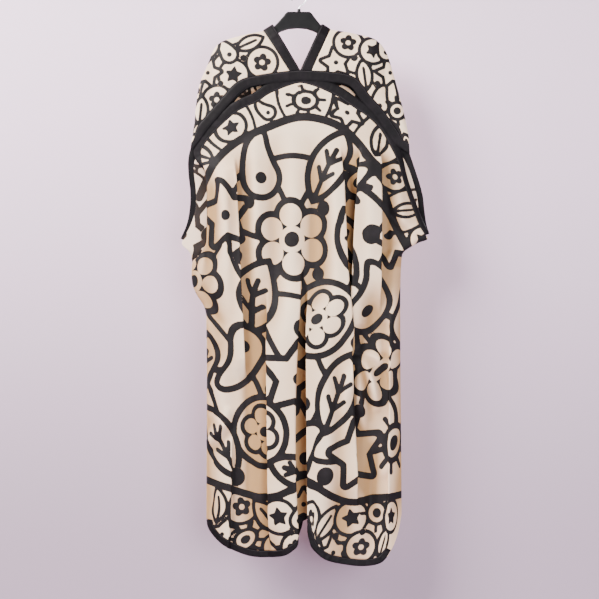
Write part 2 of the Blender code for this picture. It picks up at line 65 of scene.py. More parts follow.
# How far forward or back the cloth hangs from the hanger's middle plane.
FRONT_AT_ARCH = 22.0
FRONT_AT_BODY = 25.0
BACK_AT_ARCH = 16.0
BACK_AT_BODY = 14.0
ARMHOLE_FRONT = 9.0
ARMHOLE_BACK = 7.0
# The shoulder pieces' lower bindings keep their depth to CHEST_HALF from the middle, and ease to the
# armholes' beyond it.
CHEST_HALF = 150.0
CHEST_EASE = 130.0
# The cloth keeps the arch's depth for ARCH_HOLD below it, and then eases to the body's.
ARCH_HOLD = 34.0
ARCH_EASE = 110.0
# The front and back lie inside the shoulder pieces' bindings by this much.
LAP = BINDING + SEAM_GAP
# Towards the armholes they lie inside by more, from LAP_OUT_FROM from the middle.
LAP_OUT = 1.2
LAP_OUT_FROM = 170.0
LAP_OUT_EASE = 60.0
ROLL_RADIUS = 8.0
ROLL_TURN = 2.2
# Height where the roll ends at the head of the armhole.
ROLL_HEAD = -436.0
# Height where the left side seam starts, below the armhole.
SEAM_TOP = -688.0
# From this much above it, the front and back close up to each other, over SEAM_EASE.
SEAM_ABOVE = 40.0
SEAM_EASE = 50.0
# The front's and back's hems part a little where the side seams end.
HEM_PARTING = 1.6
HEM_PARTING_TOP = -1335.0
HEM_PARTING_EASE = 30.0
# Share of a shoulder piece's outer end that its lower binding takes up.
BAND_END = 0.55
# How much closer together columns lie along a hem. Columns: place, extra, reach.
COLUMN_CROWDING = ((0.51, 2.0, 0.035), (0.0, 1.6, 0.04), (1.0, 1.6, 0.04))
# Rows of the shoulder pieces lie closer together at the shoulder by this power.
SHOULDER_CROWDING = 1.8
# Front and back edges in the plane of the cloth, from the left seam over the arch to the right one.
# Columns: x, z.
FRONT_TOP_EDGE = (
    (-270, -688), (-262, -650), (-257, -601), (-257, -523), (-262, -474), (-272, -440),
    (-276, -414), (-265, -385), (-239, -354), (-203, -320), (-174, -297), (-151, -285),
    (-120, -271), (-94, -253), (-36, -228), (3, -219), (49, -229), (96, -249), (114, -258),
    (140, -276), (164, -292), (198, -315), (234, -351), (260, -398), (272, -440), (281, -481),
    (294, -523), (308, -562), (325, -606), (343, -637),
)
BACK_TOP_EDGE = (
    (-312, -652), (-294, -609), (-286, -565), (-285, -526), (-290, -476), (-290, -440),
    (-281, -405), (-256, -370), (-234, -334), (-208, -296), (-180, -260), (-150, -234),
    (-118, -223), (-82, -219), (-36, -218), (3, -217), (46, -217), (86, -216), (122, -220),
    (150, -234), (172, -258), (194, -287), (222, -323), (246, -357), (265, -385), (287, -420),
    (299, -453),
    (317, -507), (325, -539), (329, -575), (334, -609), (342, -637),
)
# The sides on from the ends of those edges to the hem. Columns: x, z.
LEFT_SEAM = ((-279, -765), (-269, -792), (-246, -832), (-242, -900), (-242, -1384))
FRONT_LEFT_SIDE = ((-279, -712), *LEFT_SEAM)
RIGHT_SIDE = ((335, -651), (315, -658), (291, -671), (273, -684), (268, -705), (268, -1366))
BACK_LEFT_SIDE = ((-303, -667), (-287, -682), (-280, -702), *LEFT_SEAM)
# Two rounded lobes with a notch between them. Columns: x, z.
HEM_EDGE = (
    (-242, -1384), (-239, -1398), (-229, -1415), (-198, -1443), (-148, -1467), (-94, -1477),
    (-34, -1467), (-8, -1444), (3, -1412), (9, -1386), (17, -1376), (26, -1384), (30, -1410),
    (36, -1446), (62, -1475), (112, -1493), (172, -1500), (216, -1490), (242, -1455), (258, -1414),
    (268, -1366),
)
# Each fold is an edge with cloth that stands proud on one side of it and eases back to the rest.
# Columns: top, bottom, x at top, middle and bottom, side (1 is to the right), rise, softness of
# the edge, reach of the rise, fade at the top, fade at the bottom.
FRONT_FOLDS = (
    (-430, -1030, -166, -152, -138, -1, 19, 12, 95, 70, 70),
    (-740, -1500, -84, -80, -75, 1, 22, 12, 95, 190, 140),
    (-700, -1600, 12, -12, 12, -1, 22, 12, 85, 150, 1),
    (-740, -1600, 22, 24, 30, 1, 26, 12, 125, 150, 1),
    (-400, -1370, 110, 131, 154, -1, 21, 13, 110, 110, 120),
    (-400, -960, 161, 143, 138, 1, 23, 12, 62, 90, 90),
    (-370, -860, 212, 211, 212, -1, 22, 12, 62, 90, 110),
    (-800, -1440, 236, 233, 230, 1, 14, 13, 30, 100, 100),
    (-1080, -1600, -172, -176, -186, -1, 13, 16, 60, 160, 1),
)
BACK_FOLDS = (
    (-430, -1600, -190, -178, -160, -1, 8, 24, 60, 250, 1),
    (-520, -1600, -104, -96, -82, 1, 9, 22, 70, 300, 1),
    (-460, -1600, 30, 22, 8, -1, 8, 26, 70, 300, 1),
    (-480, -1600, 96, 104, 116, 1, 9, 24, 70, 300, 1),
    (-420, -1600, 196, 198, 206, -1, 8, 24, 60, 260, 1),
)
# Rounded fullness with no edge. Columns: x, z, half width, half height, rise.
FRONT_SWELLS = (
    (-222, -752, 40, 85, 9),
    (184, -1035, 36, 85, 12),
    (-196, -560, 34, 120, 7),
    (0, -420, 90, 120, 3),
    (232, -500, 30, 90, 6),
)
BACK_SWELLS = (
    (-224, -752, 42, 90, 4),
    (0, -380, 120, 130, 4),
    (150, -1050, 70, 200, 3),
)
# x where the front's left edge starts to roll back, by height. Columns: z, x.
ROLL_LINE = ((-640, -232), (-601, -231), (-523, -231), (-474, -236), (-440, -246))
# The line over each shoulder, from the neck binding to the top of the armhole. Columns: x, z.
LEFT_SHOULDER = (
    (-94, -104), (-150, -119), (-202, -133), (-221, -149), (-242, -198), (-262, -253), (-268, -290),
    (-273, -340), (-279, -380),
)
RIGHT_SHOULDER = (
    (83, -102), (140, -113), (190, -124), (211, -138), (230, -165), (244, -203), (257, -253),
    (270, -300), (286, -380),
)
# Lower edge of each shoulder piece, from the middle of the chest to the armhole. Columns: x, z.
LEFT_YOKE_EDGE = (
    (2.8, -237), (-36, -241), (-94, -249), (-138, -259), (-158, -273), (-177, -294), (-208, -328),
    (-236, -360), (-262, -394), (-284, -424),
)
RIGHT_YOKE_EDGE = (
    (3.2, -237), (42, -239), (81, -242), (118, -247), (136, -256), (163, -291), (197, -328),
    (227, -369), (252, -402), (289, -428),
)
# Where each neck binding's edges cross the shoulder, as x and z, and x of its outer edge's foot.
LEFT_NECK = {"inner": (-69, -88), "outer": (-94, -104), "foot": -25}
RIGHT_NECK = {"inner": (60, -87), "outer": (83, -102), "foot": 34}


def ease(q):
    """0 below 0, 1 above 1, smooth between."""
    q = np.clip(q, 0.0, 1.0)
    return q * q * (3.0 - 2.0 * q)


def lengths(points):
    """How far along a line each of its points lies, or along each row of a grid."""
    steps = np.linalg.norm(np.diff(points, axis=-2), axis=-1)
    return np.concatenate([np.zeros_like(steps[..., :1]), np.cumsum(steps, axis=-1)], axis=-1)


def points_at(at, along, points):
    """Points at places along a line whose own points have the places along."""
    return np.stack([np.interp(at, along, points[:, k]) for k in range(points.shape[1])], axis=1)


def blend(t, t0, t1, p0, p1):
    """The point at t on the way from p0 at t0 to p1 at t1."""
    return ((t1 - t) * p0 + (t - t0) * p1) / (t1 - t0)


def parabola(q, first, middle, last):
    """A value that passes through three others at 0, 0.5 and 1."""
    return first * (1 - q) * (1 - 2 * q) + 4 * middle * q * (1 - q) + last * q * (2 * q - 1)


def curve_through(table, count=400, steps=24):
    """Evenly spaced points on a smooth curve through the rows of a table."""
    rows = np.array(table, float)
    ends = np.vstack([2 * rows[0] - rows[1], rows, 2 * rows[-1] - rows[-2]])
    gaps = np.linalg.norm(np.diff(ends, axis=0), axis=1) ** 0.5
    knots = np.concatenate([[0.0], np.cumsum(gaps)])
    out = []
    for i in range(1, len(ends) - 2):
        t0, t1, t2, t3 = knots[i - 1:i + 3]
        p0, p1, p2, p3 = ends[i - 1:i + 3]
        t = np.linspace(t1, t2, steps, endpoint=False)[:, None]
        a1 = blend(t, t0, t1, p0, p1)
        a2 = blend(t, t1, t2, p1, p2)
        a3 = blend(t, t2, t3, p2, p3)
        out.append(blend(t, t1, t2, blend(t, t0, t2, a1, a2), blend(t, t1, t3, a2, a3)))
    return spaced(np.vstack([*out, rows[-1:]]), count)


def spaced(points, count):
    """A line again, as evenly spaced points."""
    along = lengths(points)
    return points_at(np.linspace(0.0, along[-1], count), along, points)


def offset(points, distance):
    """The points moved to the right of their direction by a distance, which may vary."""
    d = np.gradient(points, axis=0)
    d /= np.linalg.norm(d, axis=1)[:, None]
    side = np.stack([d[:, 1], -d[:, 0]], axis=1)
    return points + side * np.reshape(distance, (-1, 1))


def read_along(key, values, at):
    """np.interp for a key that may run down or turn back a little."""
    order = np.argsort(key, kind="stable")
    return np.interp(at, key[order], values[order])


class Panel:
    """A front or back in the plane of the cloth: an arched top with armholes, sides and a hem.

    arch_flatness is how level its top edge has to run to count as the arch, and left_tip is the share
    of the binding's width that is left at the foot of its left armhole.
    """

    def __init__(self, top, left_side, arch_flatness, left_tip):
        self.outer = curve_through(top, 900)
        self.left = curve_through((top[0], *left_side))
        self.right = curve_through((top[-1], *RIGHT_SIDE))
        self.hem_outer = curve_through(HEM_EDGE, 700)
        x, z = self.outer.T
        at_tip = ease((TIP_FROM - z) / BAND_CHANGE) * (x < 0)
        armhole = ARMHOLE_BAND * (1 - (1 - left_tip) * at_tip)
        upper = ease((z - ARCH_BAND_FROM) / BAND_CHANGE)
        self.inner = offset(self.outer, armhole + (ARCH_BAND - ARMHOLE_BAND) * upper)
        run = np.gradient(self.outer, axis=0)
        flatness = np.abs(run[:, 0]) / np.linalg.norm(run, axis=1)
        arch = np.flatnonzero((flatness > arch_flatness) & (z > ARCH_FOOT))
        self.first, self.last = arch[0], arch[-1]
        x, z = self.hem_outer.T
        notch = np.exp(-((x - NOTCH_AT) / NOTCH_REACH) ** 2) * ease((z - NOTCH_FOOT) / NOTCH_RISE)
        self.hem_inner = offset(self.hem_outer, -HEM_BAND * (1 - NOTCH_THINNING * notch))

    def side(self, z, right):
        """x at height z of the cloth's own side, inside any binding, and of the outer edge."""
        edge = self.right if right else self.left
        part = slice(self.last, None) if right else slice(self.first, None, -1)
        x_inner = read_along(self.inner[part, 1], self.inner[part, 0], z)
        x_outer = read_along(self.outer[part, 1], self.outer[part, 0], z)
        x_seam = read_along(edge[:, 1], edge[:, 0], z)
        seam_top = edge[0, 1]
        below = ease((seam_top + 4.0 - z) / 26.0)
        return x_inner * (1 - below) + x_seam * below, np.where(z < seam_top, x_seam, x_outer)

    def top(self, x):
        arch = self.inner[self.first:self.last + 1]
        return np.interp(x, arch[:, 0], arch[:, 1])

    def under_arch(self, x, z):
        """0 along the arch, to 1 where the cloth hangs free of it."""
        arch = self.outer[self.first:self.last + 1]
        return ease((np.interp(x, arch[:, 0], arch[:, 1]) - ARCH_HOLD - z) / ARCH_EASE)

    def hem(self, x):
        return np.interp(x, self.hem_inner[:, 0], self.hem_inner[:, 1])

    def across(self, x, z):
        """Place across the panel: -1 at its left edge and 1 at its right."""
        left = self.side(z, False)[1]
        right = self.side(z, True)[1]
        return np.clip((2 * x - left - right) / (right - left), -1.0, 1.0)


FRONT = Panel(FRONT_TOP_EDGE, FRONT_LEFT_SIDE, arch_flatness=0.62, left_tip=1.0)
BACK = Panel(BACK_TOP_EDGE, BACK_LEFT_SIDE, arch_flatness=0.50, left_tip=0.45)


def fold_rise(fold, z):
    """How far a fold stands out at height z."""
    top, bottom, rise = fold[0], fold[1], fold[6]
    return rise * ease((top - z) / fold[9]) * ease((z - bottom) / fold[10])


def fold_edge(fold, z):
    """x of a fold's edge at height z."""
    top, bottom = fold[:2]
    return parabola((top - z) / (top - bottom), *fold[2:5])


def chest_depth(x, middle, armhole):
    """Depth of the shoulder pieces' lower binding, less towards the armholes."""
    return middle + (armhole - middle) * ease((np.abs(x) - CHEST_HALF) / CHEST_EASE)


def hanging(panel, x, z, depths, raised):
    """How far a front or back hangs from the middle plane."""
    at_arch, at_body, at_armhole = depths
    q = panel.across(x, z)
    section = (1 - np.abs(q) ** 6) ** 0.5
    in_seam = ease((SEAM_TOP + SEAM_ABOVE - z) / SEAM_EASE)
    edge = at_armhole * (1 - in_seam) + SEAM_GAP / 2 * in_seam
    edge = edge + HEM_PARTING * ease((HEM_PARTING_TOP - z) / HEM_PARTING_EASE)
    body = edge + (at_body - edge) * section + raised * (1 - q ** 8)
    lap = LAP + LAP_OUT * ease((np.abs(x) - LAP_OUT_FROM) / LAP_OUT_EASE)
    arch = chest_depth(x, at_arch, at_armhole) - lap
    below = panel.under_arch(x, z)
    return arch * (1 - below) + body * below


def column_places(count):
    """Places from 0 to 1, closer together at the sides and at the notch in the hem."""
    fine = np.linspace(0.0, 1.0, 2001)
    density = np.ones_like(fine)
    for place, extra, reach in COLUMN_CROWDING:
        density += extra * np.exp(-((fine - place) / reach) ** 2)
    total = np.concatenate([[0.0], np.cumsum((density[1:] + density[:-1]) / 2)])
    return np.interp(np.linspace(0.0, total[-1], count), total, fine)


def panel_grid(panel, rows, columns):
    """Places of a panel's grid in the plane of the cloth, inside its bindings."""
    s = column_places(columns)
    t = np.linspace(0.0, 1.0, rows)[:, None]
    arch = panel.inner[panel.first:panel.last + 1]
    x_top = arch[0, 0] + s * (arch[-1, 0] - arch[0, 0])
    x_hem = panel.hem_outer[0, 0] + s * (panel.hem_outer[-1, 0] - panel.hem_outer[0, 0])
    for end in (0, -1):
        corner = panel.hem_inner[end, 0]
        x_hem[np.argmin(np.abs(x_hem - corner))] = corner
    z_top = panel.top(x_top)
    z_hem = panel.hem(x_hem)
    level_top, level_hem = z_top.mean(), z_hem.mean()
    z = level_top + (level_hem - level_top) * t
    z = z + (z_top - level_top) * (1 - t) ** 2.5 + (z_hem - level_hem) * t ** 3
    left = panel.side(z, False)[0]
    right = panel.side(z, True)[0]
    x = left + s * (right - left)
    x[0], x[-1] = x_top, x_hem
    z[0], z[-1] = z_top, z_hem
    return x, z


def opposite(points, inner, outer):
    """The places on the outer line across from points on the inner one, in order and apart."""
    nearest = np.array([float(np.argmin(((inner - p) ** 2).sum(axis=1))) for p in points])
    order = np.arange(len(nearest))
    nearest = np.maximum.accumulate(nearest - order) + order
    nearest = np.minimum(nearest, len(outer) - 1 - order[::-1])
    return points_at(nearest, np.arange(len(outer)), outer)


def drop(share):
    """How far out the cloth is when it has fallen by a share of its way down from the shoulder."""
    return (1 - (1 - share) ** 4) ** 0.5


def over_shoulder(x, z, share, forward):
    """A point of a shoulder piece. share runs from 0 on the shoulder line to 1 at its lower edge."""
    middle, armhole = (-FRONT_AT_ARCH, -ARMHOLE_FRONT) if forward else (BACK_AT_ARCH, ARMHOLE_BACK)
    return np.stack([x, chest_depth(x, middle, armhole) * drop(share), z], axis=-1)


def both_ways(top, bottom, share_at_bottom, count):
    """A grid from a lower edge at the front, over the shoulder line, to the same edge at the back."""
    t = np.linspace(0.0, 1.0, count)[:, None] ** SHOULDER_CROWDING
    x = top[:, 0] + (bottom[:, 0] - top[:, 0]) * t
    z = top[:, 1] + (bottom[:, 1] - top[:, 1]) * t
    front, back = (over_shoulder(x, z, t * share_at_bottom, forward) for forward in (True, False))
    return np.concatenate([front[::-1], back[1:]])


def beside_line(p, line):
    """The nearest place along a line, counted in its points, and the distance to its left as it runs."""
    best = np.full(len(p), NOWHERE)
    place, signed = np.zeros(len(p)), np.full(len(p), NOWHERE)
    for i, (a, b) in enumerate(zip(line[:-1], line[1:])):
        d = b - a
        k = np.clip(((p - a) @ d) / (d @ d), 0.0, 1.0)
        away = p - a - k[:, None] * d
        far = np.linalg.norm(away, axis=1)
        left = d[0] * away[:, 1] > d[1] * away[:, 0]
        closer = far < best
        best = np.where(closer, far, best)
        place = np.where(closer, i + k, place)
        signed = np.where(closer, np.where(left, far, -far), signed)
    return place, signed


# Cloth in the scene is thinner than its solid.
SHELL = 0.9
# How far a binding's faces lie from its middle, and the places across it from edge to edge.
BINDING_BULGE = BINDING / 2 + 0.15
ACROSS_BINDING = np.linspace(0.0, 1.0, 9)[:, None]
# Straight pieces of a crease's line, and a distance beyond any real one.
CREASE_PIECES = 16
NOWHERE = 1e9
# Rows and columns of the cloths' grids, and of a neck binding down each side of its shoulder.
FRONT_GRID = (353, 217)
BACK_GRID = (281, 161)
YOKE_GRID = (141, 97)
NECK_ROWS = 70
# Points along a front's or back's top and hem bindings, and along a shoulder piece's lower binding from
# the neck's middle to the foot of its cloth.
TOP_POINTS = 420
HEM_POINTS = 320
LEAD_POINTS = 13
# Gap between a shoulder piece's cloth and its lower binding.
YOKE_GAP = 0.2
# Rows either way over which the print's places across the cloth, and the columns' own, are evened out.
CUT_ROWS = 6
PLACE_ROWS = 8
# Rows either way over which the columns of a front or back even out the turns of its outline.
CALM_ROWS = 30
# How far the columns follow the folded cloth's length.
EVEN_SHARE = 0.75
# x where the front's hem binding ends on the right.
HEM_BINDING_END = 224.0
# Factors on what the tables say: the softness of a fold's edge, the rise of folds and that of creases.
EDGE_SHARE = 0.46
FOLD_GAIN = 1.25
CREASE_GAIN = 1.25
# How far a fold's edge overhangs, and over what width.
OVERHANG = 9.0
OVERHANG_WIDTH = 8.0
# Rise of a fold with that overhang, and the height below which the overhang lessens.
OVERHANG_RISE = 20.0
CALM_HEM = -1400.0
# Depth past which the front's folds are held back, and by how much they may still pass it.
HELD_FROM = 54.0
HELD_OVER = 10.0

# Soft creases. Columns: x, z of the start, the middle and the end, half width, rise (a trough if below 0).
FRONT_CREASES = (
    (-234, -460, -196, -560, -190, -700, 17, 6),
    (-262, -560, -240, -660, -236, -760, 10, -7),
    (-176, -470, -170, -600, -166, -880, 12, -10),
    (-136, -420, -130, -600, -124, -860, 13, -5),
    (-116, -380, -112, -560, -104, -860, 18, 6),
    (-58, -380, -66, -620, -60, -900, 17, -6),
    (-20, -360, -16, -620, -30, -960, 22, 6),
    (36, -380, 44, -620, 42, -900, 18, -6),
    (84, -430, 96, -620, 92, -900, 17, 6),
    (126, -430, 136, -620, 140, -860, 10, -11),
    (180, -430, 186, -600, 180, -800, 18, 7),
    (228, -480, 230, -600, 228, -740, 10, -5),
    (254, -470, 266, -560, 278, -620, 13, 8),
    (232, -560, 258, -612, 300, -634, 9, -7),
    (-272, -776, -240, -872, -206, -926, 12, 8),
    (-264, -740, -222, -830, -190, -880, 11, -8),
    (-180, -1084, -205, -1130, -244, -1172, 12, 8),
    (-160, -1110, -196, -1180, -236, -1210, 10, -7),
    (-206, -940, -200, -1040, -190, -1120, 18, 6),
    (-222, -1200, -214, -1300, -212, -1460, 20, 6),
    (-150, -960, -128, -1120, -132, -1420, 15, -9),
    (-98, -960, -98, -1160, -104, -1460, 12, 5),
    (-92, -1280, -60, -1300, -20, -1360, 16, 4),
    (-46, -940, -46, -1160, -48, -1420, 22, 6),
    (2, -820, 0, -1100, 2, -1440, 12, -9),
    (60, -760, 66, -1100, 66, -1460, 22, 7),
    (104, -900, 104, -1150, 108, -1440, 16, -6),
    (152, -950, 128, -1010, 112, -1110, 10, 9),
    (156, -952, 158, -1050, 172, -1150, 11, 13),
    (160, -955, 190, -1020, 206, -1100, 10, 12),
    (162, -948, 210, -966, 238, -1020, 10, 10),
    (142, -966, 138, -1060, 146, -1160, 8, -8),
    (160, -975, 176, -1040, 190, -1130, 7, -7),
    (150, -944, 160, -910, 160, -870, 11, -9),
    (196, -1176, 188, -1300, 190, -1470, 14, -9),
    (150, -1180, 150, -1320, 154, -1480, 17, 6),
    (234, -1180, 226, -1240, 206, -1260, 14, 9),
    (232, -1280, 232, -1380, 228, -1460, 18, 6),
    (256, -720, 250, -860, 250, -1000, 12, 7),
    (222, -860, 222, -960, 222, -1040, 9, -9),
    (-246, -690, -256, -740, -262, -800, 10, 7),
    (-210, -640, -216, -700, -232, -790, 10, -7),
)
BACK_CREASES = (
    (-244, -480, -176, -620, -150, -840, 18, 9),
    (-214, -470, -140, -600, -118, -800, 14, -8),
    (-120, -360, -90, -560, -92, -880, 24, 9),
    (-44, -300, -34, -560, -44, -920, 20, -8),
    (30, -300, 34, -560, 30, -900, 24, 8),
    (100, -330, 92, -560, 96, -880, 20, -8),
    (226, -470, 178, -620, 160, -820, 18, 9),
    (244, -520, 202, -660, 190, -880, 14, -8),
    (-212, -840, -200, -1000, -206, -1400, 17, -8),
    (-150, -820, -146, -1060, -140, -1440, 24, 8),
    (-60, -900, -66, -1100, -60, -1440, 22, -8),
    (-4, -920, -8, -1140, -10, -1440, 16, 7),
    (56, -920, 66, -1140, 72, -1450, 17, -9),
    (136, -860, 146, -1060, 156, -1450, 24, 9),
    (214, -840, 222, -1000, 230, -1400, 15, -8),
    (-280, -756, -240, -850, -216, -906, 11, 8),
)
# Edges of cloth that folds over itself on a slant and stands proud on the left of the line's direction.
# Columns: x, z of the start and the end, rise, softness of the edge, reach of the rise.
FRONT_FLAPS = (
    (206, -734, 296, -668, 13, 2.6, 34),
    (-183, -1116, -240, -1172, 9, 2.6, 30),
)
# The same on the shoulder pieces, front and back alike: x and z in the plane of the cloth.
YOKE_CREASES = (
    (-206, -150, -190, -200, -172, -262, 11, 4),
    (-226, -170, -228, -260, -236, -330, 10, -4),
    (-162, -130, -140, -180, -116, -236, 12, -4),
    (-248, -220, -256, -310, -266, -380, 9, 4),
    (-120, -124, -96, -170, -74, -224, 10, 3.5),
    (-196, -240, -214, -290, -244, -350, 9, 3),
    (196, -140, 182, -190, 168, -250, 11, 4),
    (224, -170, 226, -250, 238, -330, 10, -4),
    (152, -130, 132, -180, 112, -230, 12, -4),
    (246, -220, 258, -300, 272, -370, 9, 4),
    (108, -118, 86, -160, 66, -214, 10, 3.5),
    (190, -250, 206, -300, 236, -352, 9, 3),
)


def crease_rise(table, x, z):
    """How far the soft creases lift the cloth."""
    out = np.zeros_like(x)
    p = np.stack([x, z], axis=-1)
    t = np.linspace(0.0, 1.0, CREASE_PIECES + 1)
    for x0, z0, x1, z1, x2, z2, half, rise in table:
        line = np.stack([parabola(t, x0, x1, x2), parabola(t, z0, z1, z2)], axis=1)
        reach = 3.0 * half
        near = ((p > line.min(axis=0) - reach) & (p < line.max(axis=0) + reach)).all(axis=-1)
        place, away = beside_line(p[near], line)
        out[near] += rise * np.exp(-(away / half) ** 2) * np.sin(np.pi * place / CREASE_PIECES) ** 0.7
    return out


def flap_rise(table, x, z):
    """How far the cloth stands out beside the slanting edges."""
    out = np.zeros_like(x)
    for x0, z0, x1, z1, rise, softness, reach in table:
        length = math.hypot(x1 - x0, z1 - z0)
        across, up = (x1 - x0) / length, (z1 - z0) / length
        along = ((x - x0) * across + (z - z0) * up) / length
        beside = (z - z0) * across - (x - x0) * up
        ends = ease(along / 0.35) * ease((1.25 - along) / 0.25)
        out += rise * ends * ease(0.5 + beside / (2 * softness)) * (1 - ease(beside / reach))
    return out


def fold_relief(folds, swells, x, z):
    """How far the cloth stands out at the large folds, with crisper edges than the solid's."""
    out = np.zeros_like(x)
    for fold in folds:
        side, softness, reach = fold[5], fold[7] * EDGE_SHARE, fold[8]
        q = (x - fold_edge(fold, z)) * side
        out += FOLD_GAIN * fold_rise(fold, z) * ease(0.5 + q / (2 * softness)) * (1 - ease(q / reach))
    for x0, z0, half_width, half_height, rise in swells:
        out += rise * np.exp(-((x - x0) / half_width) ** 2 - ((z - z0) / half_height) ** 2)
    return out


def fold_shift(folds, x, z):
    """Sideways move that tucks the cloth under each large fold's edge, less of it near the hem."""
    move = np.zeros_like(x)
    for fold in folds:
        side = fold[5]
        q = (x - fold_edge(fold, z)) * side / OVERHANG_WIDTH
        near_hem = ease((CALM_HEM - z) / 60.0)
        strength = OVERHANG * fold_rise(fold, z) / OVERHANG_RISE * (1 - 0.8 * near_hem)
        move += side * strength * (np.exp(-(q + 1) ** 2) - np.exp(-(q - 1) ** 2))
    return move


def ripple(x, z, seed, size):
    """Gentle unevenness with no direction, from a few fixed waves."""
    rng = np.random.default_rng(seed)
    out = np.zeros_like(x)
    for _ in range(9):
        across = rng.uniform(0.012, 0.075)
        down = rng.uniform(-0.018, 0.018)
        bend = rng.uniform(0.002, 0.006)
        phase = rng.uniform(0, 6.28, 2)
        wave = np.sin(across * x + down * z + phase[0] + 1.3 * np.sin(bend * z + phase[1]))
        out += wave / (1 + 30 * across)
    return size * out


def draped(panel, x, z, depths, folds, swells, creases, seed, size):
    """Depth of a front or back with all of its folds and creases, and the sideways move at its folds."""
    inside = 1 - panel.across(x, z) ** 8
    below = panel.under_arch(x, z)
    out = hanging(panel, x, z, depths, fold_relief(folds, swells, x, z))
    fine = CREASE_GAIN * crease_rise(creases, x, z) + ripple(x, z, seed, size)
    out = out + fine * inside * (0.25 + 0.75 * below)
    return out, fold_shift(folds, x, z) * inside * below


def front_drape(x, z):
    """The front's points, with the roll of its left armhole."""
    depths = (FRONT_AT_ARCH, FRONT_AT_BODY, ARMHOLE_FRONT)
    out, move = draped(FRONT, x, z, depths, FRONT_FOLDS, FRONT_SWELLS, FRONT_CREASES, seed=3, size=1.6)
    out = out + flap_rise(FRONT_FLAPS, x, z)
    over = np.maximum(out - HELD_FROM, 0.0)
    out = out - over + HELD_OVER * np.tanh(over / HELD_OVER)
    line = read_along(*np.array(ROLL_LINE, float).T, z)
    turn = np.clip((line - x) / ROLL_RADIUS, 0.0, ROLL_TURN)
    rolled_x = np.where(x < line, line - ROLL_RADIUS * np.sin(turn), x)
    rolled = FRONT_AT_ARCH - ROLL_RADIUS * (1 - np.cos(turn))
    window = ease((z - SEAM_TOP) / 40.0) * ease((ROLL_HEAD - z) / 50.0)
    out = out + (rolled - out) * (1 - ease((x - line) / 30.0)) * window
    return np.stack([x + move + (rolled_x - x) * window, -out, z], axis=-1)


def back_drape(x, z):
    depths = (BACK_AT_ARCH, BACK_AT_BODY, ARMHOLE_BACK)
    out, move = draped(BACK, x, z, depths, BACK_FOLDS, BACK_SWELLS, BACK_CREASES, seed=8, size=1.4)
    return np.stack([x + move, out, z], axis=-1)


def surface(form, x, z):
    """Points of a form and its unit normals."""
    e = 1.0
    normal = np.cross(form(x + e, z) - form(x - e, z), form(x, z + e) - form(x, z - e))
    normal /= np.linalg.norm(normal, axis=-1)[..., None] + 1e-9
    return form(x, z), normal


# The print: lines and dots of dark ink. Widths are in millimetres.
BOLD = 17.5
FINE = 9.3
# Distance to the ink where there is none.
BARE = 60.0
# Motifs up to this size are drawn more plainly.
SMALL = 60
# The rows of small motifs above the arch's line: their height, the motifs' size, and a shift between rows.
ROW_HEIGHT = 88.0
ROW_SIZE = 36.0
SECOND_ROW_SHIFT = 40.0
# How far the lines between their motifs bend, and how far motifs lie off the row's middle.
ROW_BOW = 9.0
ROW_LIFT = 4.0
# The heavy line that parts the big print from the small one along the arch. Columns: x, z.
ARCH_LINE = (
    (-262, -540), (-240, -490), (-212, -444), (-164, -400), (-84, -362), (8, -334), (100, -356),
    (160, -410), (206, -492), (246, -606), (284, -680),
)
HEM_LINE = (
    (-300, -1262), (-200, -1290), (-100, -1320), (-30, -1300), (12, -1262), (50, -1292), (120, -1330),
    (210, -1322), (320, -1312),
)


def rotated(p, angle):
    c, s = math.cos(angle), math.sin(angle)
    return np.stack([c * p[:, 0] + s * p[:, 1], -s * p[:, 0] + c * p[:, 1]], axis=1)


def to_line(p, points):
    """Distance to a line of straight pieces."""
    return np.abs(beside_line(p, points)[1])


def to_ellipse(p, a, b):
    size = np.array([a, b])
    k1 = np.linalg.norm(p / size, axis=1)
    k2 = np.linalg.norm(p / size ** 2, axis=1)
    return k1 * (k1 - 1) / np.maximum(k2, 1e-9)


def ring(d, width):
    return np.abs(d) - width / 2


def sector(p, count):
    """The places turned into the one of so many equal sectors that points up, and their distance."""
    step = 2 * math.pi / count
    angle = np.arctan2(p[:, 0], p[:, 1])
    angle = angle - step * np.round(angle / step)
    far = np.linalg.norm(p, axis=1)
    return np.stack([far * np.sin(angle), far * np.cos(angle)], axis=1), far


def daisy(p, size, width):
    """Petals round a dark centre."""
    q, far = sector(p, 6)
    petal = to_ellipse(q - (0, 0.62 * size), 0.38 * size, 0.38 * size)
    outline = np.minimum(petal, far - 0.42 * size)
    ink = np.maximum(ring(petal, width), 0.34 * size - far)
    return outline, np.minimum(ink, far - 0.20 * size)


def star(p, size, width):
    """A star with blunt tips round a dark spot."""
    q, _ = sector(p, 5)
    q[:, 0] = np.abs(q[:, 0])
    tip = np.array([0.0, 0.92 * size])
    dent = np.array([math.sin(math.pi / 5), math.cos(math.pi / 5)]) * 0.48 * size
    edge = dent - tip
    outward = np.array([-edge[1], edge[0]]) / np.linalg.norm(edge)
    outline = np.sign((q - tip) @ outward) * to_line(q, np.stack([tip, dent])) - 0.10 * size
    return outline, np.minimum(ring(outline, width), np.linalg.norm(p, axis=1) - 0.15 * size)


def leaf(p, size, width):
    """A pointed leaf with a midrib, and side veins if it is large."""
    wide = size * 0.50
    radius = (size * size + wide * wide) / (2 * wide)
    q = np.stack([np.abs(p[:, 0]), p[:, 1]], axis=1)
    outline = np.hypot(q[:, 0] + radius - wide, q[:, 1]) - radius
    midrib = to_line(p, np.array([[0.0, -size], [0.0, 0.45 * size]])) - 0.42 * width
    ink = np.minimum(ring(outline, width), midrib)
    if size > SMALL:
        for start in (-0.44, 0.02):
            a = np.array([0.0, start * size])
            vein = to_line(q, np.stack([a, a + (0.46 * wide, 0.30 * size)])) - 0.36 * width
            ink = np.minimum(ink, vein)
    return outline, ink


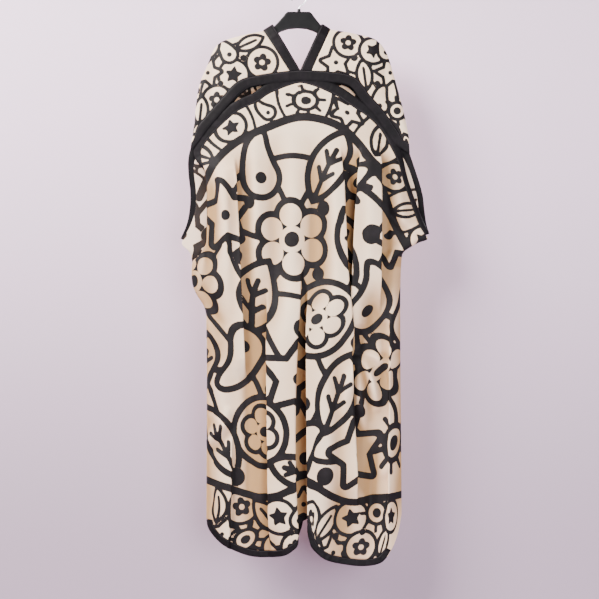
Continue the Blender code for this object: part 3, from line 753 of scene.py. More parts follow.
def paisley(p, size, width):
    """A drop with a curled tip and a dark eye."""
    t = np.linspace(0.0, 1.0, 40)
    x = size * (-0.12 + 0.60 * t ** 2.2 - 0.55 * np.clip(t - 0.6, 0, 1) ** 1.5)
    y = size * (-0.42 + 1.30 * np.sin(t * 1.60))
    r = size * (0.60 * (1 - t) ** 0.8 + 0.03)
    outline = np.full(len(p), 1e9)
    for cx, cy, cr in zip(x, y, r):
        outline = np.minimum(outline, np.hypot(p[:, 0] - cx, p[:, 1] - cy) - cr)
    eye = np.hypot(p[:, 0] - x[0], p[:, 1] - y[0]) - 0.19 * size
    return outline, np.minimum(ring(outline, width), eye)


def sun(p, size, width):
    """A ring with rays and a dark middle."""
    q, far = sector(p, 10 if size > SMALL else 8)
    ray = to_line(q, np.array([[0.0, 0.66 * size], [0.0, 0.96 * size]])) - 0.45 * width
    ink = np.minimum(np.minimum(ring(far - 0.58 * size, width), ray), far - 0.26 * size)
    return far - 0.58 * size, ink


def coin(p, size, width):
    """A star in a ring. A small one's star is dark all over."""
    outline, ink = star(p, (0.66 if size > SMALL else 0.56) * size, 0.8 * width)
    round_edge = np.linalg.norm(p, axis=1) - size
    return round_edge, np.minimum(ring(round_edge, width), ink if size > SMALL else outline)


def bloom(p, size, width):
    """A daisy in a ring. A small one is dark with a pale middle."""
    round_edge = np.linalg.norm(p, axis=1) - size
    if size > SMALL:
        ink = daisy(p, 0.76 * size, 0.7 * width)[1]
    else:
        q, far = sector(p, 5)
        ink = np.maximum(to_ellipse(q - (0, 0.34 * size), 0.22 * size, 0.24 * size), 0.17 * size - far)
    return round_edge, np.minimum(ring(round_edge, width), ink)


def dot(p, size, _):
    d = np.linalg.norm(p, axis=1) - size
    return d, d


MOTIFS = {motif.__name__: motif for motif in (daisy, star, leaf, paisley, sun, dot, coin, bloom)}


def draw_line(ink, p, close, line, width):
    """Adds a line to the ink at those places that are close to it."""
    ink[close] = np.minimum(ink[close], to_line(p[close], line) - width / 2)


def draw_motif(ink, p, kind, middle, size, turn, mirror, width):
    """Adds a motif to the ink. Its outline clears whatever lies under it."""
    near = np.linalg.norm(p - middle, axis=1) < 1.7 * size + 2 * width
    if near.any():
        q = rotated(p[near] - middle, math.radians(turn)) * (-1.0 if mirror else 1.0, 1.0)
        outline, own = MOTIFS[kind](q, size, width)
        ink[near] = np.minimum(np.maximum(ink[near], -outline), own)


# The big print. Columns: motif, place across the cut, height, size, turn in degrees, mirrored.
BIG_PRINT = (
    ("paisley", -116, -456, 82, 16, 0), ("leaf", 70, -462, 100, -26, 0), ("sun", 196, -500, 72, 0, 0),
    ("star", -238, -590, 90, 8, 0), ("daisy", -30, -652, 102, 4, 0), ("leaf", 160, -670, 104, 24, 0),
    ("leaf", -150, -800, 108, -32, 0), ("bloom", 70, -858, 96, 10, 0), ("paisley", 256, -800, 86, -18, 1),
    ("daisy", -330, -760, 82, 20, 0), ("paisley", -262, -960, 90, 158, 0), ("star", -70, -1012, 98, -12, 0),
    ("leaf", 140, -1050, 106, -18, 0), ("daisy", 300, -990, 88, 0, 0), ("bloom", -196, -1150, 90, 12, 0),
    ("paisley", 30, -1196, 88, -34, 0), ("star", 214, -1206, 90, 14, 0), ("leaf", -332, -1176, 100, 26, 0),
    ("sun", 352, -1180, 78, 0, 0), ("leaf", -84, -1250, 72, 70, 0), ("star", 358, -640, 84, 20, 0),
    ("leaf", -384, -980, 90, -20, 0), ("paisley", 390, -860, 80, 30, 0), ("daisy", -390, -560, 84, 0, 0),
    ("dot", -190, -694, 24, 0, 0), ("dot", 44, -742, 18, 0, 0), ("dot", -40, -884, 26, 0, 0),
    ("dot", 190, -918, 22, 0, 0), ("dot", 38, -1076, 20, 0, 0), ("dot", 120, -1262, 24, 0, 0),
    ("dot", -176, -1040, 18, 0, 0), ("dot", 58, -572, 20, 0, 0), ("dot", -150, -556, 16, 0, 0),
    ("dot", 274, -640, 26, 0, 0), ("dot", 236, -1096, 18, 0, 0), ("dot", -284, -1268, 24, 0, 0),
)
# Lines from one motif's middle to another's. Columns: the two motifs' rows, bend to one side.
BIG_STEMS = (
    (0, 1, 24), (0, 3, -26), (0, 4, 22), (1, 2, 18), (1, 4, -20), (2, 5, 24), (2, 20, 20), (3, 4, -22),
    (3, 9, 20), (3, 6, -22), (4, 6, 24), (4, 7, -20), (5, 7, 22), (5, 8, -22), (6, 7, 30), (6, 10, 24),
    (6, 11, -22), (7, 11, 20), (7, 12, -22), (8, 12, 26), (8, 13, -18), (9, 10, -22), (10, 14, 24),
    (11, 14, -24), (11, 15, 20), (12, 15, -18), (12, 16, 22), (13, 16, -20), (13, 18, 22), (14, 17, 18),
    (14, 19, -16), (15, 19, 20), (15, 16, -24), (16, 18, 16), (8, 20, 20), (10, 21, 20), (17, 21, -20),
    (8, 22, -20), (13, 22, 18), (3, 23, -18), (9, 23, 20),
)
# The small print of the shoulder pieces, by distance from the garment's middle.
YOKE_PRINT = (
    ("bloom", 96, -192, 41, 10, 0), ("leaf", 128, -140, 38, 66, 0), ("coin", 170, -224, 40, 8, 0),
    ("paisley", 192, -160, 35, -30, 0), ("star", 238, -216, 38, 16, 0), ("bloom", 214, -288, 38, 0, 0),
    ("leaf", 256, -316, 38, 6, 0), ("coin", 246, -376, 34, 14, 0), ("star", 62, -252, 34, 0, 0),
    ("paisley", 284, -404, 30, 20, 1), ("sun", 120, -262, 32, 0, 0), ("leaf", 226, -148, 34, 20, 0),
    ("dot", 144, -180, 9, 0, 0), ("dot", 204, -246, 8, 0, 0), ("dot", 222, -336, 8, 0, 0),
    ("dot", 268, -262, 10, 0, 0),
)
YOKE_STEMS = (
    (0, 1, 9), (0, 2, -8), (1, 3, 9), (2, 3, -8), (2, 4, 8), (3, 4, 8), (4, 5, -8), (4, 6, 9), (5, 6, 8),
    (5, 7, -9), (6, 7, 7), (7, 9, 6), (2, 5, 8), (0, 8, 8), (0, 10, -7), (2, 10, 8), (3, 11, 6),
)
# The small print above the hem.
HEM_PRINT = (
    ("bloom", -272, -1346, 44, 10, 0), ("leaf", -206, -1368, 50, 40, 0), ("coin", -136, -1366, 45, 8, 0),
    ("paisley", -70, -1362, 40, -20, 0), ("star", 0, -1340, 44, 0, 0), ("bloom", 74, -1372, 45, 16, 0),
    ("leaf", 142, -1386, 50, -30, 0), ("coin", 212, -1374, 45, 20, 0), ("sun", 284, -1362, 50, 0, 0),
    ("sun", -240, -1430, 46, 0, 0), ("paisley", -166, -1456, 38, 40, 0), ("bloom", -92, -1448, 42, 0, 0),
    ("leaf", -24, -1432, 44, 60, 0), ("coin", 40, -1450, 42, 30, 0), ("paisley", 106, -1462, 38, -60, 1),
    ("star", 176, -1462, 44, 12, 0), ("bloom", 248, -1450, 42, 0, 0), ("leaf", 316, -1440, 44, -20, 0),
    ("star", -312, -1416, 44, 0, 0), ("coin", 350, -1370, 42, 0, 0), ("leaf", -346, -1340, 46, 10, 0),
    ("leaf", -140, -1520, 44, 80, 0), ("sun", -54, -1516, 44, 0, 0), ("star", 62, -1526, 40, 0, 0),
    ("leaf", 140, -1526, 42, 80, 0), ("sun", 214, -1520, 44, 0, 0), ("dot", -104, -1406, 9, 0, 0),
    ("dot", -206, -1310, 10, 0, 0), ("dot", 38, -1398, 9, 0, 0), ("dot", 176, -1420, 10, 0, 0),
    ("dot", 246, -1410, 9, 0, 0),
)
HEM_STEMS = (
    (0, 1, 10), (1, 2, -9), (2, 3, 9), (3, 4, -10), (4, 5, 9), (5, 6, -10), (6, 7, 9), (7, 8, -9),
    (0, 9, 8), (1, 10, 9), (2, 11, -9), (3, 12, 8), (4, 13, -8), (5, 14, 8), (6, 15, 9), (7, 16, -8),
    (8, 17, 8), (9, 10, -9), (10, 11, 9), (11, 12, -8), (12, 13, 9), (13, 14, 8), (14, 15, -8),
    (15, 16, 9), (16, 17, -8), (1, 9, 10), (5, 13, 8), (18, 0, 8), (19, 8, 8), (10, 21, 8), (11, 22, 8),
    (13, 23, 8), (15, 24, 8), (16, 25, 8),
)


def printed(p, motifs, stems, width):
    """Signed distance to the ink for places in the cut. Below 0 is ink."""
    ink = np.full(len(p), BARE)
    t = np.linspace(0.0, 1.0, 15)[:, None]
    for a, b, bend in stems:
        start, end = np.array(motifs[a][1:3], float), np.array(motifs[b][1:3], float)
        run = end - start
        long = np.linalg.norm(run)
        side = np.array([-run[1], run[0]]) / long
        reach = long / 2 + abs(bend) + 3 * width
        close = np.linalg.norm(p - (start + end) / 2, axis=1) < reach
        draw_line(ink, p, close, start + run * t + side * (4 * bend * t * (1 - t)), 0.90 * width)
    for kind, x, z, size, turn, mirror in motifs:
        draw_motif(ink, p, kind, (x, z), size, turn, mirror, width)
    return ink


ROW_MOTIFS = ("bloom", "leaf", "coin", "paisley", "sun", "star", "leaf")
ROW_SHARES = {"paisley": 0.82, "leaf": 1.1, "star": 1.05, "sun": 1.15}
ROW_STEP = 92.0


def row_print(p, size, first):
    """A row of small motifs with curved lines between them. p is the place along and across the row."""
    ink = np.full(len(p), BARE)
    for i in range(math.floor(p[:, 0].min() / ROW_STEP), math.ceil(p[:, 0].max() / ROW_STEP) + 1):
        x = i * ROW_STEP
        bow = ROW_BOW * (1 if i % 2 else -1)
        z = np.linspace(-2.2 * size, 2.2 * size, 15)
        line = np.stack([x - ROW_STEP / 2 + bow * np.cos(z / size), z], axis=1)
        draw_line(ink, p, np.abs(p[:, 0] - x + ROW_STEP / 2) < 40, line, 0.84 * FINE)
        kind = ROW_MOTIFS[(i + first) % len(ROW_MOTIFS)]
        turn = ((i * 53 + first * 29) % 80) - 40
        middle = (x, ROW_LIFT * math.sin(2.4 * i))
        draw_motif(ink, p, kind, middle, size * ROW_SHARES.get(kind, 1.0), turn, 0, FINE)
    return ink


def bordered(cut, plan, first):
    """The print of a front or back: a big field between an arch and a hem of small motifs."""
    ink = printed(cut, BIG_PRINT, BIG_STEMS, BOLD)
    arch = curve_through(ARCH_LINE, 90)
    place, side = beside_line(plan, arch)
    place = np.interp(place, np.arange(len(arch)), lengths(arch))
    above = side - ROW_HEIGHT / 2
    row = row_print(np.stack([place, above], axis=1), ROW_SIZE, first)
    above = above - ROW_HEIGHT
    second = row_print(np.stack([place + SECOND_ROW_SHIFT, above], axis=1), ROW_SIZE, first + 2)
    ink = np.where(side > 0, np.where(side > ROW_HEIGHT, second, row), ink)
    ink = np.minimum(ink, np.abs(side) - 0.62 * BOLD)
    _, side = beside_line(plan, curve_through(HEM_LINE, 90))
    ink = np.where(side < 0, printed(cut, HEM_PRINT, HEM_STEMS, FINE + 1.0), ink)
    return np.minimum(ink, np.abs(side) - 0.56 * BOLD)


def yoke_print(x, z, turned):
    """The small print of a shoulder piece. Its motifs change places by so many rows."""
    count = sum(row[0] != "dot" for row in YOKE_PRINT)
    motifs = [(YOKE_PRINT[(i + turned) % count][0] if i < count else row[0], *row[1:])
              for i, row in enumerate(YOKE_PRINT)]
    return printed(np.stack([np.abs(x), z], axis=1), motifs, YOKE_STEMS, FINE)


def placed(name, data):
    """A new object of the scene."""
    obj = bpy.data.objects.new(name, data)
    bpy.context.scene.collection.objects.link(obj)
    return obj


def mesh_piece(name, points, faces, material, nodes, **fields):
    """A piece of the scene that rides on the root and stands for CAD nodes."""
    mesh = bpy.data.meshes.new(name)
    mesh.from_pydata([tuple(p) for p in np.asarray(points) * MM], [], faces)
    for key, values in fields.items():
        mesh.attributes.new(key, "FLOAT", "POINT").data.foreach_set("value", np.asarray(values, np.float32))
    mesh.shade_smooth()
    obj = placed(name, mesh)
    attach(obj, "root")
    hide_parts(*nodes)
    mesh.materials.append(material)
    return obj


def grid_faces(index, flip=False):
    """Four-sided faces of a grid whose points have these numbers."""
    quads = [index[:-1, :-1], index[:-1, 1:], index[1:, 1:], index[1:, :-1]]
    return np.stack([q.ravel() for q in (quads[::-1] if flip else quads)], axis=1).tolist()


def shell(name, middle, normal, nodes, step, **fields):
    """Thin cloth about a grid of points. Its inner face, that normal points away from, has every row and
    column or every other one. The field inside is 1 on that face."""
    half = normal * (SHELL / 2)
    rear = (middle - half - normal * (step - 1) * chord_rise(middle, normal))[::step, ::step]
    points = np.concatenate([(middle + half).reshape(-1, 3), rear.reshape(-1, 3)])
    front_index, rear_index = numbered(middle), numbered(rear)
    count = front_index.size
    rear_index = rear_index + count
    faces = grid_faces(front_index) + grid_faces(rear_index, True)
    outer, inner = edge_loop(front_index), edge_loop(rear_index)
    for i in range(len(inner)):
        rim = [outer[(step * i + k) % len(outer)] for k in range(step, -1, -1)]
        faces.append([*rim, inner[i], inner[(i + 1) % len(inner)]])
    both = {}
    for key, values in fields.items():
        values = values.reshape(front_index.shape)
        both[key] = np.concatenate([values.ravel(), values[::step, ::step].ravel()])
    both["inside"] = (np.arange(len(points)) >= count).astype(float)
    return mesh_piece(name, points, faces, SATIN, nodes, **both)


def numbered(grid):
    """The points' numbers, in the grid's rows and columns."""
    return np.arange(grid.shape[0] * grid.shape[1]).reshape(grid.shape[:2])


def chord_rise(middle, normal):
    """How far chords past every other place of a grid stand in front of it, nearby."""
    out = np.zeros(middle.shape[:2])
    across = (middle[:, :-2] + middle[:, 2:]) / 2 - middle[:, 1:-1]
    down = (middle[:-2] + middle[2:]) / 2 - middle[1:-1]
    out[:, 1:-1] = (across * normal[:, 1:-1]).sum(axis=-1)
    out[1:-1] = np.maximum(out[1:-1], (down * normal[1:-1]).sum(axis=-1))
    rows, columns = out.shape
    padded = np.pad(np.maximum(out, 0.0), 1, mode="edge")
    shifted = [padded[i:i + rows, k:k + columns] for i in range(3) for k in range(3)]
    return 1.2 * np.max(shifted, axis=0)[..., None]


def edge_loop(index):
    """The places round a grid's rim, in order."""
    return np.concatenate([index[0, :], index[1:, -1], index[-1, -2::-1], index[-2:0:-1, 0]]).tolist()


def hollow_share(middle, reach):
    """Share of painted shade at each point: 0 where the cloth stands out, to 1 in its troughs, by its depth
    against that of the cloth beside it.
    """
    depth = np.abs(middle[..., 1])
    width = max(int(reach / np.abs(np.diff(middle[len(middle) // 2, :, 0])).mean()), 2)
    padded = np.pad(depth, ((0, 0), (width, width)), mode="edge")
    peak = np.max([padded[:, k:k + depth.shape[1]] for k in range(2 * width + 1)], axis=0)
    return np.clip((evened(peak, width // 2, 1) - depth) / PAINTED_SHADE_DEPTH, 0.0, 1.0)


def evened(values, width, axis):
    """A grid's values averaged with those so many places either way along one axis."""
    pad = [(0, 0), (0, 0)]
    pad[axis] = (width, width)
    padded = np.pad(values, pad, mode="edge")
    count = values.shape[axis]
    return sum(np.take(padded, range(k, k + count), axis) for k in range(2 * width + 1)) / (2 * width + 1)


def cut_places(points, base_x, middle_x):
    """Place across the flat cloth, measured from its line down to the notch, for a grid of points."""
    across = lengths(points)
    zero = np.array([np.interp(middle_x, bx, a) for bx, a in zip(base_x, across)])
    return evened(across - zero[:, None], CUT_ROWS, 0)


def levelled(x):
    """A panel's grid with columns that stay nearly upright where its outline narrows fast."""
    s = column_places(x.shape[1])
    left, right = x[:, :1], x[:, -1:]
    calm_left, calm_right = evened(left, CALM_ROWS, 0), evened(right, CALM_ROWS, 0)
    calm = calm_left + s * (calm_right - calm_left)
    calm = calm + (left - calm_left) * (1 - s) ** 6 + (right - calm_right) * s ** 6
    t = np.linspace(0.0, 1.0, len(x))[:, None]
    share = ease(t / 0.12) * ease((1 - t) / 0.12)
    return x + (calm - x) * share


def unbound_corner(x, z, hem):
    """Lengthens a grid's hem to the outer line past the place where the binding ends."""
    outer = np.interp(x[-1], hem[:, 0], hem[:, 1])
    drop_by = (outer - z[-1]) * ease((x[-1] - HEM_BINDING_END + 4.0) / 8.0)
    t = np.linspace(0.0, 1.0, len(z))[:, None]
    return z + drop_by * t ** 4


def spread_evenly(form, x, z):
    """The same grid with its columns spaced by the length of the folded cloth."""
    columns = x.shape[1]
    place = np.linspace(0, columns - 1, 3 * columns - 2)
    length = lengths(form(between(x, place), between(z, place)))
    weight = EVEN_SHARE * length / length[:, -1:] + (1 - EVEN_SHARE) * place / (columns - 1)
    wanted = np.linspace(0.0, 1.0, columns)
    place = evened(np.array([np.interp(wanted, row, place) for row in weight]), PLACE_ROWS, 0)
    return between(x, place), between(z, place)


def between(values, place):
    """A grid's values at places along its rows, counted in columns."""
    place = np.broadcast_to(place, (len(values), place.shape[-1]))
    low = np.clip(np.floor(place).astype(int), 0, values.shape[1] - 2)
    before, after = np.take_along_axis(values, low, 1), np.take_along_axis(values, low + 1, 1)
    return before + (after - before) * (place - low)


class Tree:
    """A short way to write a material's nodes."""

    def __init__(self, name):
        self.material = bpy.data.materials.new(name)
        self.material.use_nodes = True
        self.tree = self.material.node_tree
        self.shader = self.tree.nodes["Principled BSDF"]

    def set(self, socket, value):
        if isinstance(value, bpy.types.NodeSocket):
            self.tree.links.new(value, socket)
        else:
            socket.default_value = value

    def node(self, kind, sockets=(), **settings):
        """Adds a node and returns its outputs. Its sockets are given by number or name."""
        made = self.tree.nodes.new("ShaderNode" + kind)
        for key, value in settings.items():
            setattr(made, key, value)
        for key, value in dict(sockets).items():
            self.set(made.inputs[key], value)
        return made.outputs

    def maths(self, operation, a, b=0.0, c=0.0):
        return self.node("Math", {0: a, 1: b, 2: c}, operation=operation)[0]

    def scaled(self, value, factor, start=0.0):
        return self.maths("MULTIPLY_ADD", value, factor, start)

    def field(self, name):
        return self.node("Attribute", attribute_name=name)["Fac"]

    def mix(self, share, a, b):
        return self.node("Mix", {0: share, 6: a, 7: b}, data_type="RGBA")[2]

    def between(self, value, low, high):
        """0 where the value is low, 1 where it is high, smooth between."""
        sockets = {0: value, 1: low, 2: high, 3: 0.0, 4: 1.0}
        return self.node("MapRange", sockets, interpolation_type="SMOOTHSTEP")[0]

    def noise(self, scale, detail=3.0, stretch=(1, 1, 1), rough=0.5):
        place = self.node("Mapping", {0: self.node("TexCoord")["Object"], "Scale": stretch})[0]
        sockets = {"Vector": place, "Scale": scale, "Detail": detail, "Roughness": rough}
        return self.node("TexNoise", sockets)["Fac"]

    def bump(self, height, strength, distance, **below):
        return self.node("Bump", {"Strength": strength, "Distance": distance, "Height": height, **below})[0]

    def finish(self, colour, roughness, **others):
        """Sets the shader's sockets, whose names are written with _ for a space."""
        for key, value in {"Base_Color": colour, "Roughness": roughness, **others}.items():
            self.set(self.shader.inputs[key.replace("_", " ")], value)
        return self.material


CREAM = (0.97, 0.710, 0.505, 1.0)
CREAM_DEEP = (0.91, 0.640, 0.435, 1.0)
# Painted shade: the colour that the troughs of the folds are darkened towards.
PAINTED_TROUGH_SHADE = (0.42, 0.25, 0.11, 1.0)
INSIDE = (0.84, 0.655, 0.53, 1.0)
INK = (0.0045, 0.0032, 0.0042, 1.0)
INK_WORN = (0.012, 0.009, 0.011, 1.0)
# Share of the light that soaks into the cloth, so that a little comes through to its other face.
THIN_CLOTH = 0.42
# How far a trough lies behind the cloth beside it where its painted shade is deepest, and how wide beside is.
PAINTED_SHADE_DEPTH = 22.0
PAINTED_SHADE_REACH = 44.0
# How uneven the ink's edge is, and over what distance it fades, both in mm.
INK_UNEVEN = 1.6
INK_EDGE = 0.6
BINDING_DEEP = (0.0028, 0.0020, 0.0030, 1.0)
BINDING_WORN = (0.007, 0.005, 0.007, 1.0)
THREAD = (0.030, 0.026, 0.030, 1.0)
# The bindings' stitches: their length in mm, and their line as a share of the binding's width.
STITCH_LENGTH = 3.4
STITCHES_AT = 0.13


def weave(t, strength):
    """Fine threads, finer across the cloth than down it."""
    threads = t.noise(1400.0, 1.0, (1.0, 1.0, 0.06), 0.4)
    cockle = t.noise(38.0, 3.0, (1.0, 1.0, 0.45), 0.55)
    return t.bump(cockle, 0.10, 0.004, Normal=t.bump(threads, strength, 0.0002))


def satin_material():
    t = Tree("printed_satin")
    uneven = t.scaled(t.noise(260.0, 2.0), INK_UNEVEN, -INK_UNEVEN / 2)
    ink = t.between(t.maths("ADD", t.field("ink"), uneven), INK_EDGE, -INK_EDGE)
    inside = t.field("inside")
    ground = t.mix(t.between(t.noise(7.0), 0.35, 0.7), CREAM, CREAM_DEEP)
    # Painted shade: the ground darkens towards a warm tan in the troughs of the folds, by their depth.
    ground = t.mix(t.field("hollow"), ground, PAINTED_TROUGH_SHADE)
    ground = t.mix(t.scaled(inside, 0.8), ground, INSIDE)
    dark = t.mix(t.between(t.noise(20.0, 4.0), 0.45, 0.8), INK, INK_WORN)
    colour = t.mix(t.maths("MULTIPLY", ink, t.scaled(inside, -0.02, 1.0)), ground, dark)
    rough = t.scaled(ink, 0.16, t.scaled(t.noise(60.0), 0.12, 0.44))
    return t.finish(colour, rough, Normal=weave(t, 0.25), Specular_IOR_Level=0.20,
                    Subsurface_Weight=THIN_CLOTH, Subsurface_Scale=0.0028,
                    Subsurface_Radius=(1.0, 0.9, 0.8))


def binding_material():
    t = Tree("binding_satin")
    beside = t.maths("ABSOLUTE", t.scaled(t.field("across"), 1.0, -STITCHES_AT))
    in_stitch = t.maths("FRACT", t.scaled(t.field("along"), 1.0 / STITCH_LENGTH))
    dash = t.between(t.maths("ABSOLUTE", t.scaled(in_stitch, 1.0, -0.5)), 0.38, 0.30)
    thread = t.maths("MULTIPLY", t.between(beside, 0.034, 0.018), dash)
    groove = t.between(beside, 0.12, 0.0)
    dark = t.mix(t.between(t.noise(24.0, 4.0), 0.4, 0.75), BINDING_DEEP, BINDING_WORN)
    height = t.maths("SUBTRACT", t.scaled(thread, 0.6), groove)
    normal = t.bump(height, 0.5, 0.0008, Normal=weave(t, 0.3))
    rough = t.scaled(t.noise(70.0), 0.16, 0.50)
    return t.finish(t.mix(thread, dark, THREAD), rough, Normal=normal, Specular_IOR_Level=0.14)


def plastic_material():
    t = Tree("moulded_plastic")
    colour = t.mix(t.noise(12.0), (0.003, 0.003, 0.0035, 1.0), (0.006, 0.006, 0.007, 1.0))
    normal = t.bump(t.noise(1500.0, 2.0), 0.12, 0.0003)
    return t.finish(colour, t.scaled(t.noise(90.0), 0.16, 0.30), Normal=normal, Specular_IOR_Level=0.30)


def steel_material():
    t = Tree("bright_steel")
    streaks = t.noise(900.0, 2.0, (1.0, 1.0, 0.08))
    colour = t.mix(t.noise(40.0), (0.50, 0.50, 0.52, 1.0), (0.40, 0.40, 0.42, 1.0))
    return t.finish(colour, t.scaled(streaks, 0.2, 0.18), Normal=t.bump(streaks, 0.15, 0.0002), Metallic=1.0)


SATIN = satin_material()
BOUND = binding_material()
PLASTIC = plastic_material()
STEEL = steel_material()

# Heights where the armholes' bindings end on the left and on the right.
BINDING_ENDS = {"front": (-632, -640), "back": (-652, -640)}


def panel_pieces(side, panel, form, size, first, behind, step):
    """The cloth of the front or back, its top binding and its hem binding."""
    rows, columns = size
    x, z = panel_grid(panel, rows, columns)
    x = levelled(x)
    left_end, right_end = BINDING_ENDS[side]
    up = [j for j in range(rows - 1, 0, -1) if z[j, 0] > left_end]
    down = [j for j in range(1, rows) if z[j, -1] > right_end]
    plan = np.stack([x, z], axis=-1)
    rim = spaced(np.concatenate([plan[up, 0], plan[0], plan[down, -1]]), TOP_POINTS)
    start, end = panel.hem_inner[[0, -1], 0]
    if side == "front":
        end = HEM_BINDING_END
        z = unbound_corner(x, z, panel.hem_outer)
    hem = spaced(plan[-1][(x[-1] > start - 0.01) & (x[-1] < end + 0.01)], HEM_POINTS)
    x, z = spread_evenly(form, x, z)
    middle, normal = surface(form, x, z)
    for edge in (0, -1):
        normal[z[:, edge] < SEAM_TOP + 60.0, edge, 1] = 0.0
    normal /= np.linalg.norm(normal, axis=-1)[..., None]
    across = cut_places(middle, x, NOTCH_AT)
    if behind:
        normal, across = -normal, -across
    cut, plan = (np.stack([place.ravel(), z.ravel()], axis=1) for place in (across, x))
    cloth = shell(side + "_cloth", middle, normal, (side + "_panel", side + "_hem_border"), step,
                  ink=bordered(cut, plan, first), hollow=hollow_share(middle, PAINTED_SHADE_REACH))
    top = strip_piece(side + "_top", form, rim, opposite(rim, panel.inner, panel.outer))
    low = strip_piece(side + "_hem", form, hem, opposite(hem, panel.hem_inner, panel.hem_outer))
    return cloth, top, low


def strip_piece(place, form, inner, outer):
    """A binding between two lines in the plane of the cloth."""
    grid = inner + (outer - inner) * ACROSS_BINDING[..., None]
    return binding(place + "_binding", *surface(form, grid[..., 0], grid[..., 1]), place + "_band")


def binding(name, middle, normal, node):
    """A folded binding as one closed flat tube. middle runs across in rows and along in columns."""
    t = ACROSS_BINDING
    along = lengths(middle[len(t) // 2])
    pucker = 0.35 * np.sin(along * 0.21 + 2.0 * np.sin(along * 0.047)) + 0.25 * np.sin(along * 0.43 + 1.0)
    bulge = BINDING_BULGE * np.sqrt(np.clip(1 - np.abs(2 * t - 1) ** 6, 0, 1))
    shift = pucker * np.sin(np.pi * t)
    front = middle + normal * (bulge + shift)[..., None]
    back = middle - normal * (bulge - shift)[..., None]
    around = np.concatenate([front, back[-2:0:-1]])
    index = numbered(around)
    faces = grid_faces(np.concatenate([index, index[:1]]))
    faces += [index[:, 0].tolist(), index[::-1, -1].tolist()]
    share = np.repeat(np.concatenate([t, t[-2:0:-1]]), len(along))
    obj = mesh_piece(name, around.reshape(-1, 3), faces, BOUND, (node,), along=np.tile(along, len(around)),
                     across=share)
    obj.data.set_sharp_from_angle(angle=0.9)
    return obj


def shoulder_pieces(side, shoulder, lower, neck):
    """The cloth over a shoulder, and its neck binding and lower bindings."""
    sign = -1 if side == "left" else 1
    rows, columns = YOKE_GRID
    edge = curve_through(lower)
    order = np.arange(len(edge))
    along = np.linspace(0.0, 1.0, len(edge))[:, None]
    upper = offset(edge, -sign * ARCH_BAND)
    first = edge[0] + (0.0, ARCH_BAND)
    last = edge[-1] + (np.array(shoulder[-1]) - edge[-1]) * BAND_END
    upper += (first - upper[0]) * (1 - ease(along / 0.12)) + (last - upper[-1]) * ease((along - 0.8) / 0.2)
    start = int(np.argmin(np.abs(upper[:, 0] - neck["foot"])))
    at = np.linspace(start, len(edge) - 1, columns)
    top = spaced(curve_through(shoulder), columns)
    bottom = points_at(at, order, offset(upper, -sign * YOKE_GAP))
    tall = np.linalg.norm(top - bottom, axis=1)
    share = tall / (tall + np.linalg.norm(bottom - points_at(at, order, edge), axis=1))
    middle = both_ways(top, bottom, share, rows)
    x, z = middle[..., 0], middle[..., 2]
    fine = crease_rise(YOKE_CREASES, x, z) + ripple(x, z, seed=21, size=0.8)
    calm = np.sin(np.pi * np.linspace(0.0, 1.0, len(middle)))[:, None] ** 0.5
    middle = middle + outward_normals(middle, -1) * (fine * calm)[..., None]
    ink = yoke_print(middle[..., 0].ravel(), middle[..., 2].ravel(), 0 if side == "left" else 4)
    cloth = shell("yoke_cloth_" + side, middle, outward_normals(middle, -1), ("yoke_" + side,), 2, ink=ink,
                  hollow=np.zeros(middle.shape[:2]))
    inner, outer = np.array(neck["inner"], float), np.array(neck["outer"], float)
    foot = points_at(np.linspace(0, start, len(ACROSS_BINDING)), order, upper)
    strip = both_ways(inner + (outer - inner) * ACROSS_BINDING, foot, share[0], NECK_ROWS)
    normal = outward_normals(strip, -1)
    pieces = [binding("neck_binding_" + side, strip.transpose(1, 0, 2), normal.transpose(1, 0, 2),
                      "neck_band_" + side)]
    lead = np.linspace(0, start, LEAD_POINTS, endpoint=False)
    at = np.concatenate([lead, at])
    share = np.concatenate([np.full(len(lead), share[0]), share])
    high, low = points_at(at, order, upper), points_at(at, order, edge)
    grid = high + (low - high) * ACROSS_BINDING[..., None]
    grid[:, 0, 0] -= sign * SEAM_GAP
    share = share + (1 - share) * ACROSS_BINDING
    for name, outward in (("front", -1), ("back", 1)):
        strip = over_shoulder(grid[..., 0], grid[..., 1], share, name == "front")
        pieces.append(binding(f"yoke_binding_{name}_{side}", strip, outward_normals(strip, outward),
                              f"yoke_band_{name}_{side}"))
    return cloth, pieces


def outward_normals(points, outward):
    """Unit normals of a grid, turned so that the first row's point the way of outward along Y."""
    normal = np.cross(np.gradient(points, axis=1), np.gradient(points, axis=0))
    normal /= np.linalg.norm(normal, axis=-1)[..., None] + 1e-9
    return normal if normal[0, :, 1].mean() * outward > 0 else -normal


front_cloth, front_top, front_hem = panel_pieces("front", FRONT, front_drape, FRONT_GRID, 0, False, 2)
back_cloth, back_top, back_hem = panel_pieces("back", BACK, back_drape, BACK_GRID, 3, True, 1)
left_cloth, left_bound = shoulder_pieces("left", LEFT_SHOULDER, LEFT_YOKE_EDGE, LEFT_NECK)
right_cloth, right_bound = shoulder_pieces("right", RIGHT_SHOULDER, RIGHT_YOKE_EDGE, RIGHT_NECK)

for node, material in (("hanger_body", PLASTIC), ("hanger_collar", PLASTIC), ("hanger_hook", STEEL)):
    slots = bpy.data.objects[node].data.materials
    slots.clear()
    slots.append(material)

# The wall's colour high up, and low down where painted shade darkens it, and the heights where the change
# starts and ends.
WALL_PALE = (0.82, 0.640, 0.81, 1.0)
WALL_PAINTED_SHADE = (0.44, 0.345, 0.435, 1.0)
WALL_PALE_FROM = 0.0
WALL_PAINTED_SHADE_FROM = -1.55
# In metres: the wall's place, top and half width, the floor's height and front edge, and the radius of the
# turn between the two.
WALL_Y = 0.13
WALL_TOP = 2.2
WALL_HALF = 6.0
FLOOR_Z = -2.6
FLOOR_FRONT = -7.0
WALL_TURN = 0.6
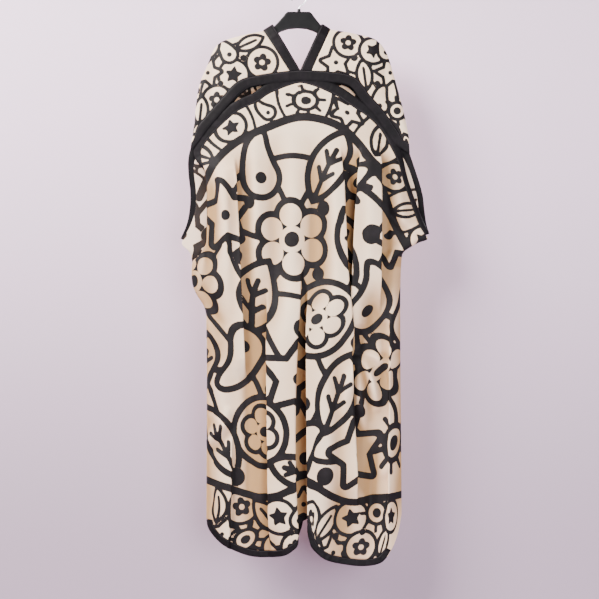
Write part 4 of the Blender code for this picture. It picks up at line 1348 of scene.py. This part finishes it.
# Round lights. Columns: name, place, what it points at, diameter, power, colour.
LIGHTS = (
    ("key", (-2.2, -1.9, 1.35), (0.0, 0.0, -0.5), 2.1, 412.0, (1.0, 0.965, 0.925)),
    ("fill", (1.3, -2.6, -0.9), (0.0, 0.0, -0.8), 2.2, 112.0, (0.99, 0.985, 1.0)),
    ("rear", (1.6, 2.8, 0.6), (0.0, 0.0, -0.75), 2.0, 190.0, (1.0, 1.0, 1.0)),
    ("rear_fill", (-2.2, 2.6, -0.4), (0.0, 0.0, -0.8), 2.4, 110.0, (1.0, 1.0, 1.0)),
)
WORLD_COLOUR = (0.84, 0.79, 0.79, 1.0)
WORLD_STRENGTH = 0.17


def backdrop():
    """A pale wall close behind, with painted shade low down, that turns into a floor, see-through from
    behind.
    """
    section = [(WALL_Y, WALL_TOP)]
    for a in np.linspace(0.0, math.pi / 2, 13):
        section.append((WALL_Y - WALL_TURN * (1 - math.cos(a)), FLOOR_Z + WALL_TURN * (1 - math.sin(a))))
    section.append((FLOOR_FRONT, FLOOR_Z))
    points = [(x, y, z) for y, z in section for x in (-WALL_HALF, WALL_HALF)]
    faces = [(2 * i, 2 * i + 2, 2 * i + 3, 2 * i + 1) for i in range(len(section) - 1)]
    mesh = bpy.data.meshes.new("backdrop")
    mesh.from_pydata(points, [], faces)
    mesh.shade_smooth()
    wall = placed("backdrop", mesh)
    wall.visible_shadow = False
    t = Tree("backdrop")
    # Painted shade: the wall's colour darkens towards the floor, by height.
    height = t.node("SeparateXYZ", {0: t.node("TexCoord")["Object"]})[2]
    t.finish(t.mix(t.between(height, WALL_PALE_FROM, WALL_PAINTED_SHADE_FROM), WALL_PALE, WALL_PAINTED_SHADE), 0.9,
             Specular_IOR_Level=0.1)
    from_behind = t.node("NewGeometry")["Backfacing"]
    either = t.node("MixShader", {0: from_behind, 1: t.shader.outputs[0], 2: t.node("BsdfTransparent")[0]})[0]
    t.tree.links.new(either, t.tree.nodes["Material Output"].inputs[0])
    mesh.materials.append(t.material)


backdrop()
for name, place, target, size, power, colour in LIGHTS:
    light = bpy.data.lights.new(name, "AREA")
    light.shape = "DISK"
    light.size = size
    light.energy = power
    light.color = colour
    lamp = placed(name, light)
    lamp.location = place
    lamp.rotation_euler = (Vector(target) - Vector(place)).to_track_quat("-Z", "Y").to_euler()

world = bpy.data.worlds.new("studio")
bpy.context.scene.world = world
world.use_nodes = True
world.node_tree.nodes["Background"].inputs[0].default_value = WORLD_COLOUR
world.node_tree.nodes["Background"].inputs[1].default_value = WORLD_STRENGTH

# Width of the view at the garment, in metres: 599 pixels of 2.6 mm.
VIEW_WIDTH = 1.557
CAMERA_DISTANCE = 3.18
CAMERA_PLACE = (0.0013, -CAMERA_DISTANCE - 0.02, -0.8077)
camera = bpy.data.cameras.new("camera")
camera.sensor_width = 36.0
camera.lens = camera.sensor_width * CAMERA_DISTANCE / VIEW_WIDTH
eye = placed("camera", camera)
eye.location = CAMERA_PLACE
eye.rotation_euler = (math.pi / 2, 0.0, 0.0)
bpy.context.scene.camera = eye
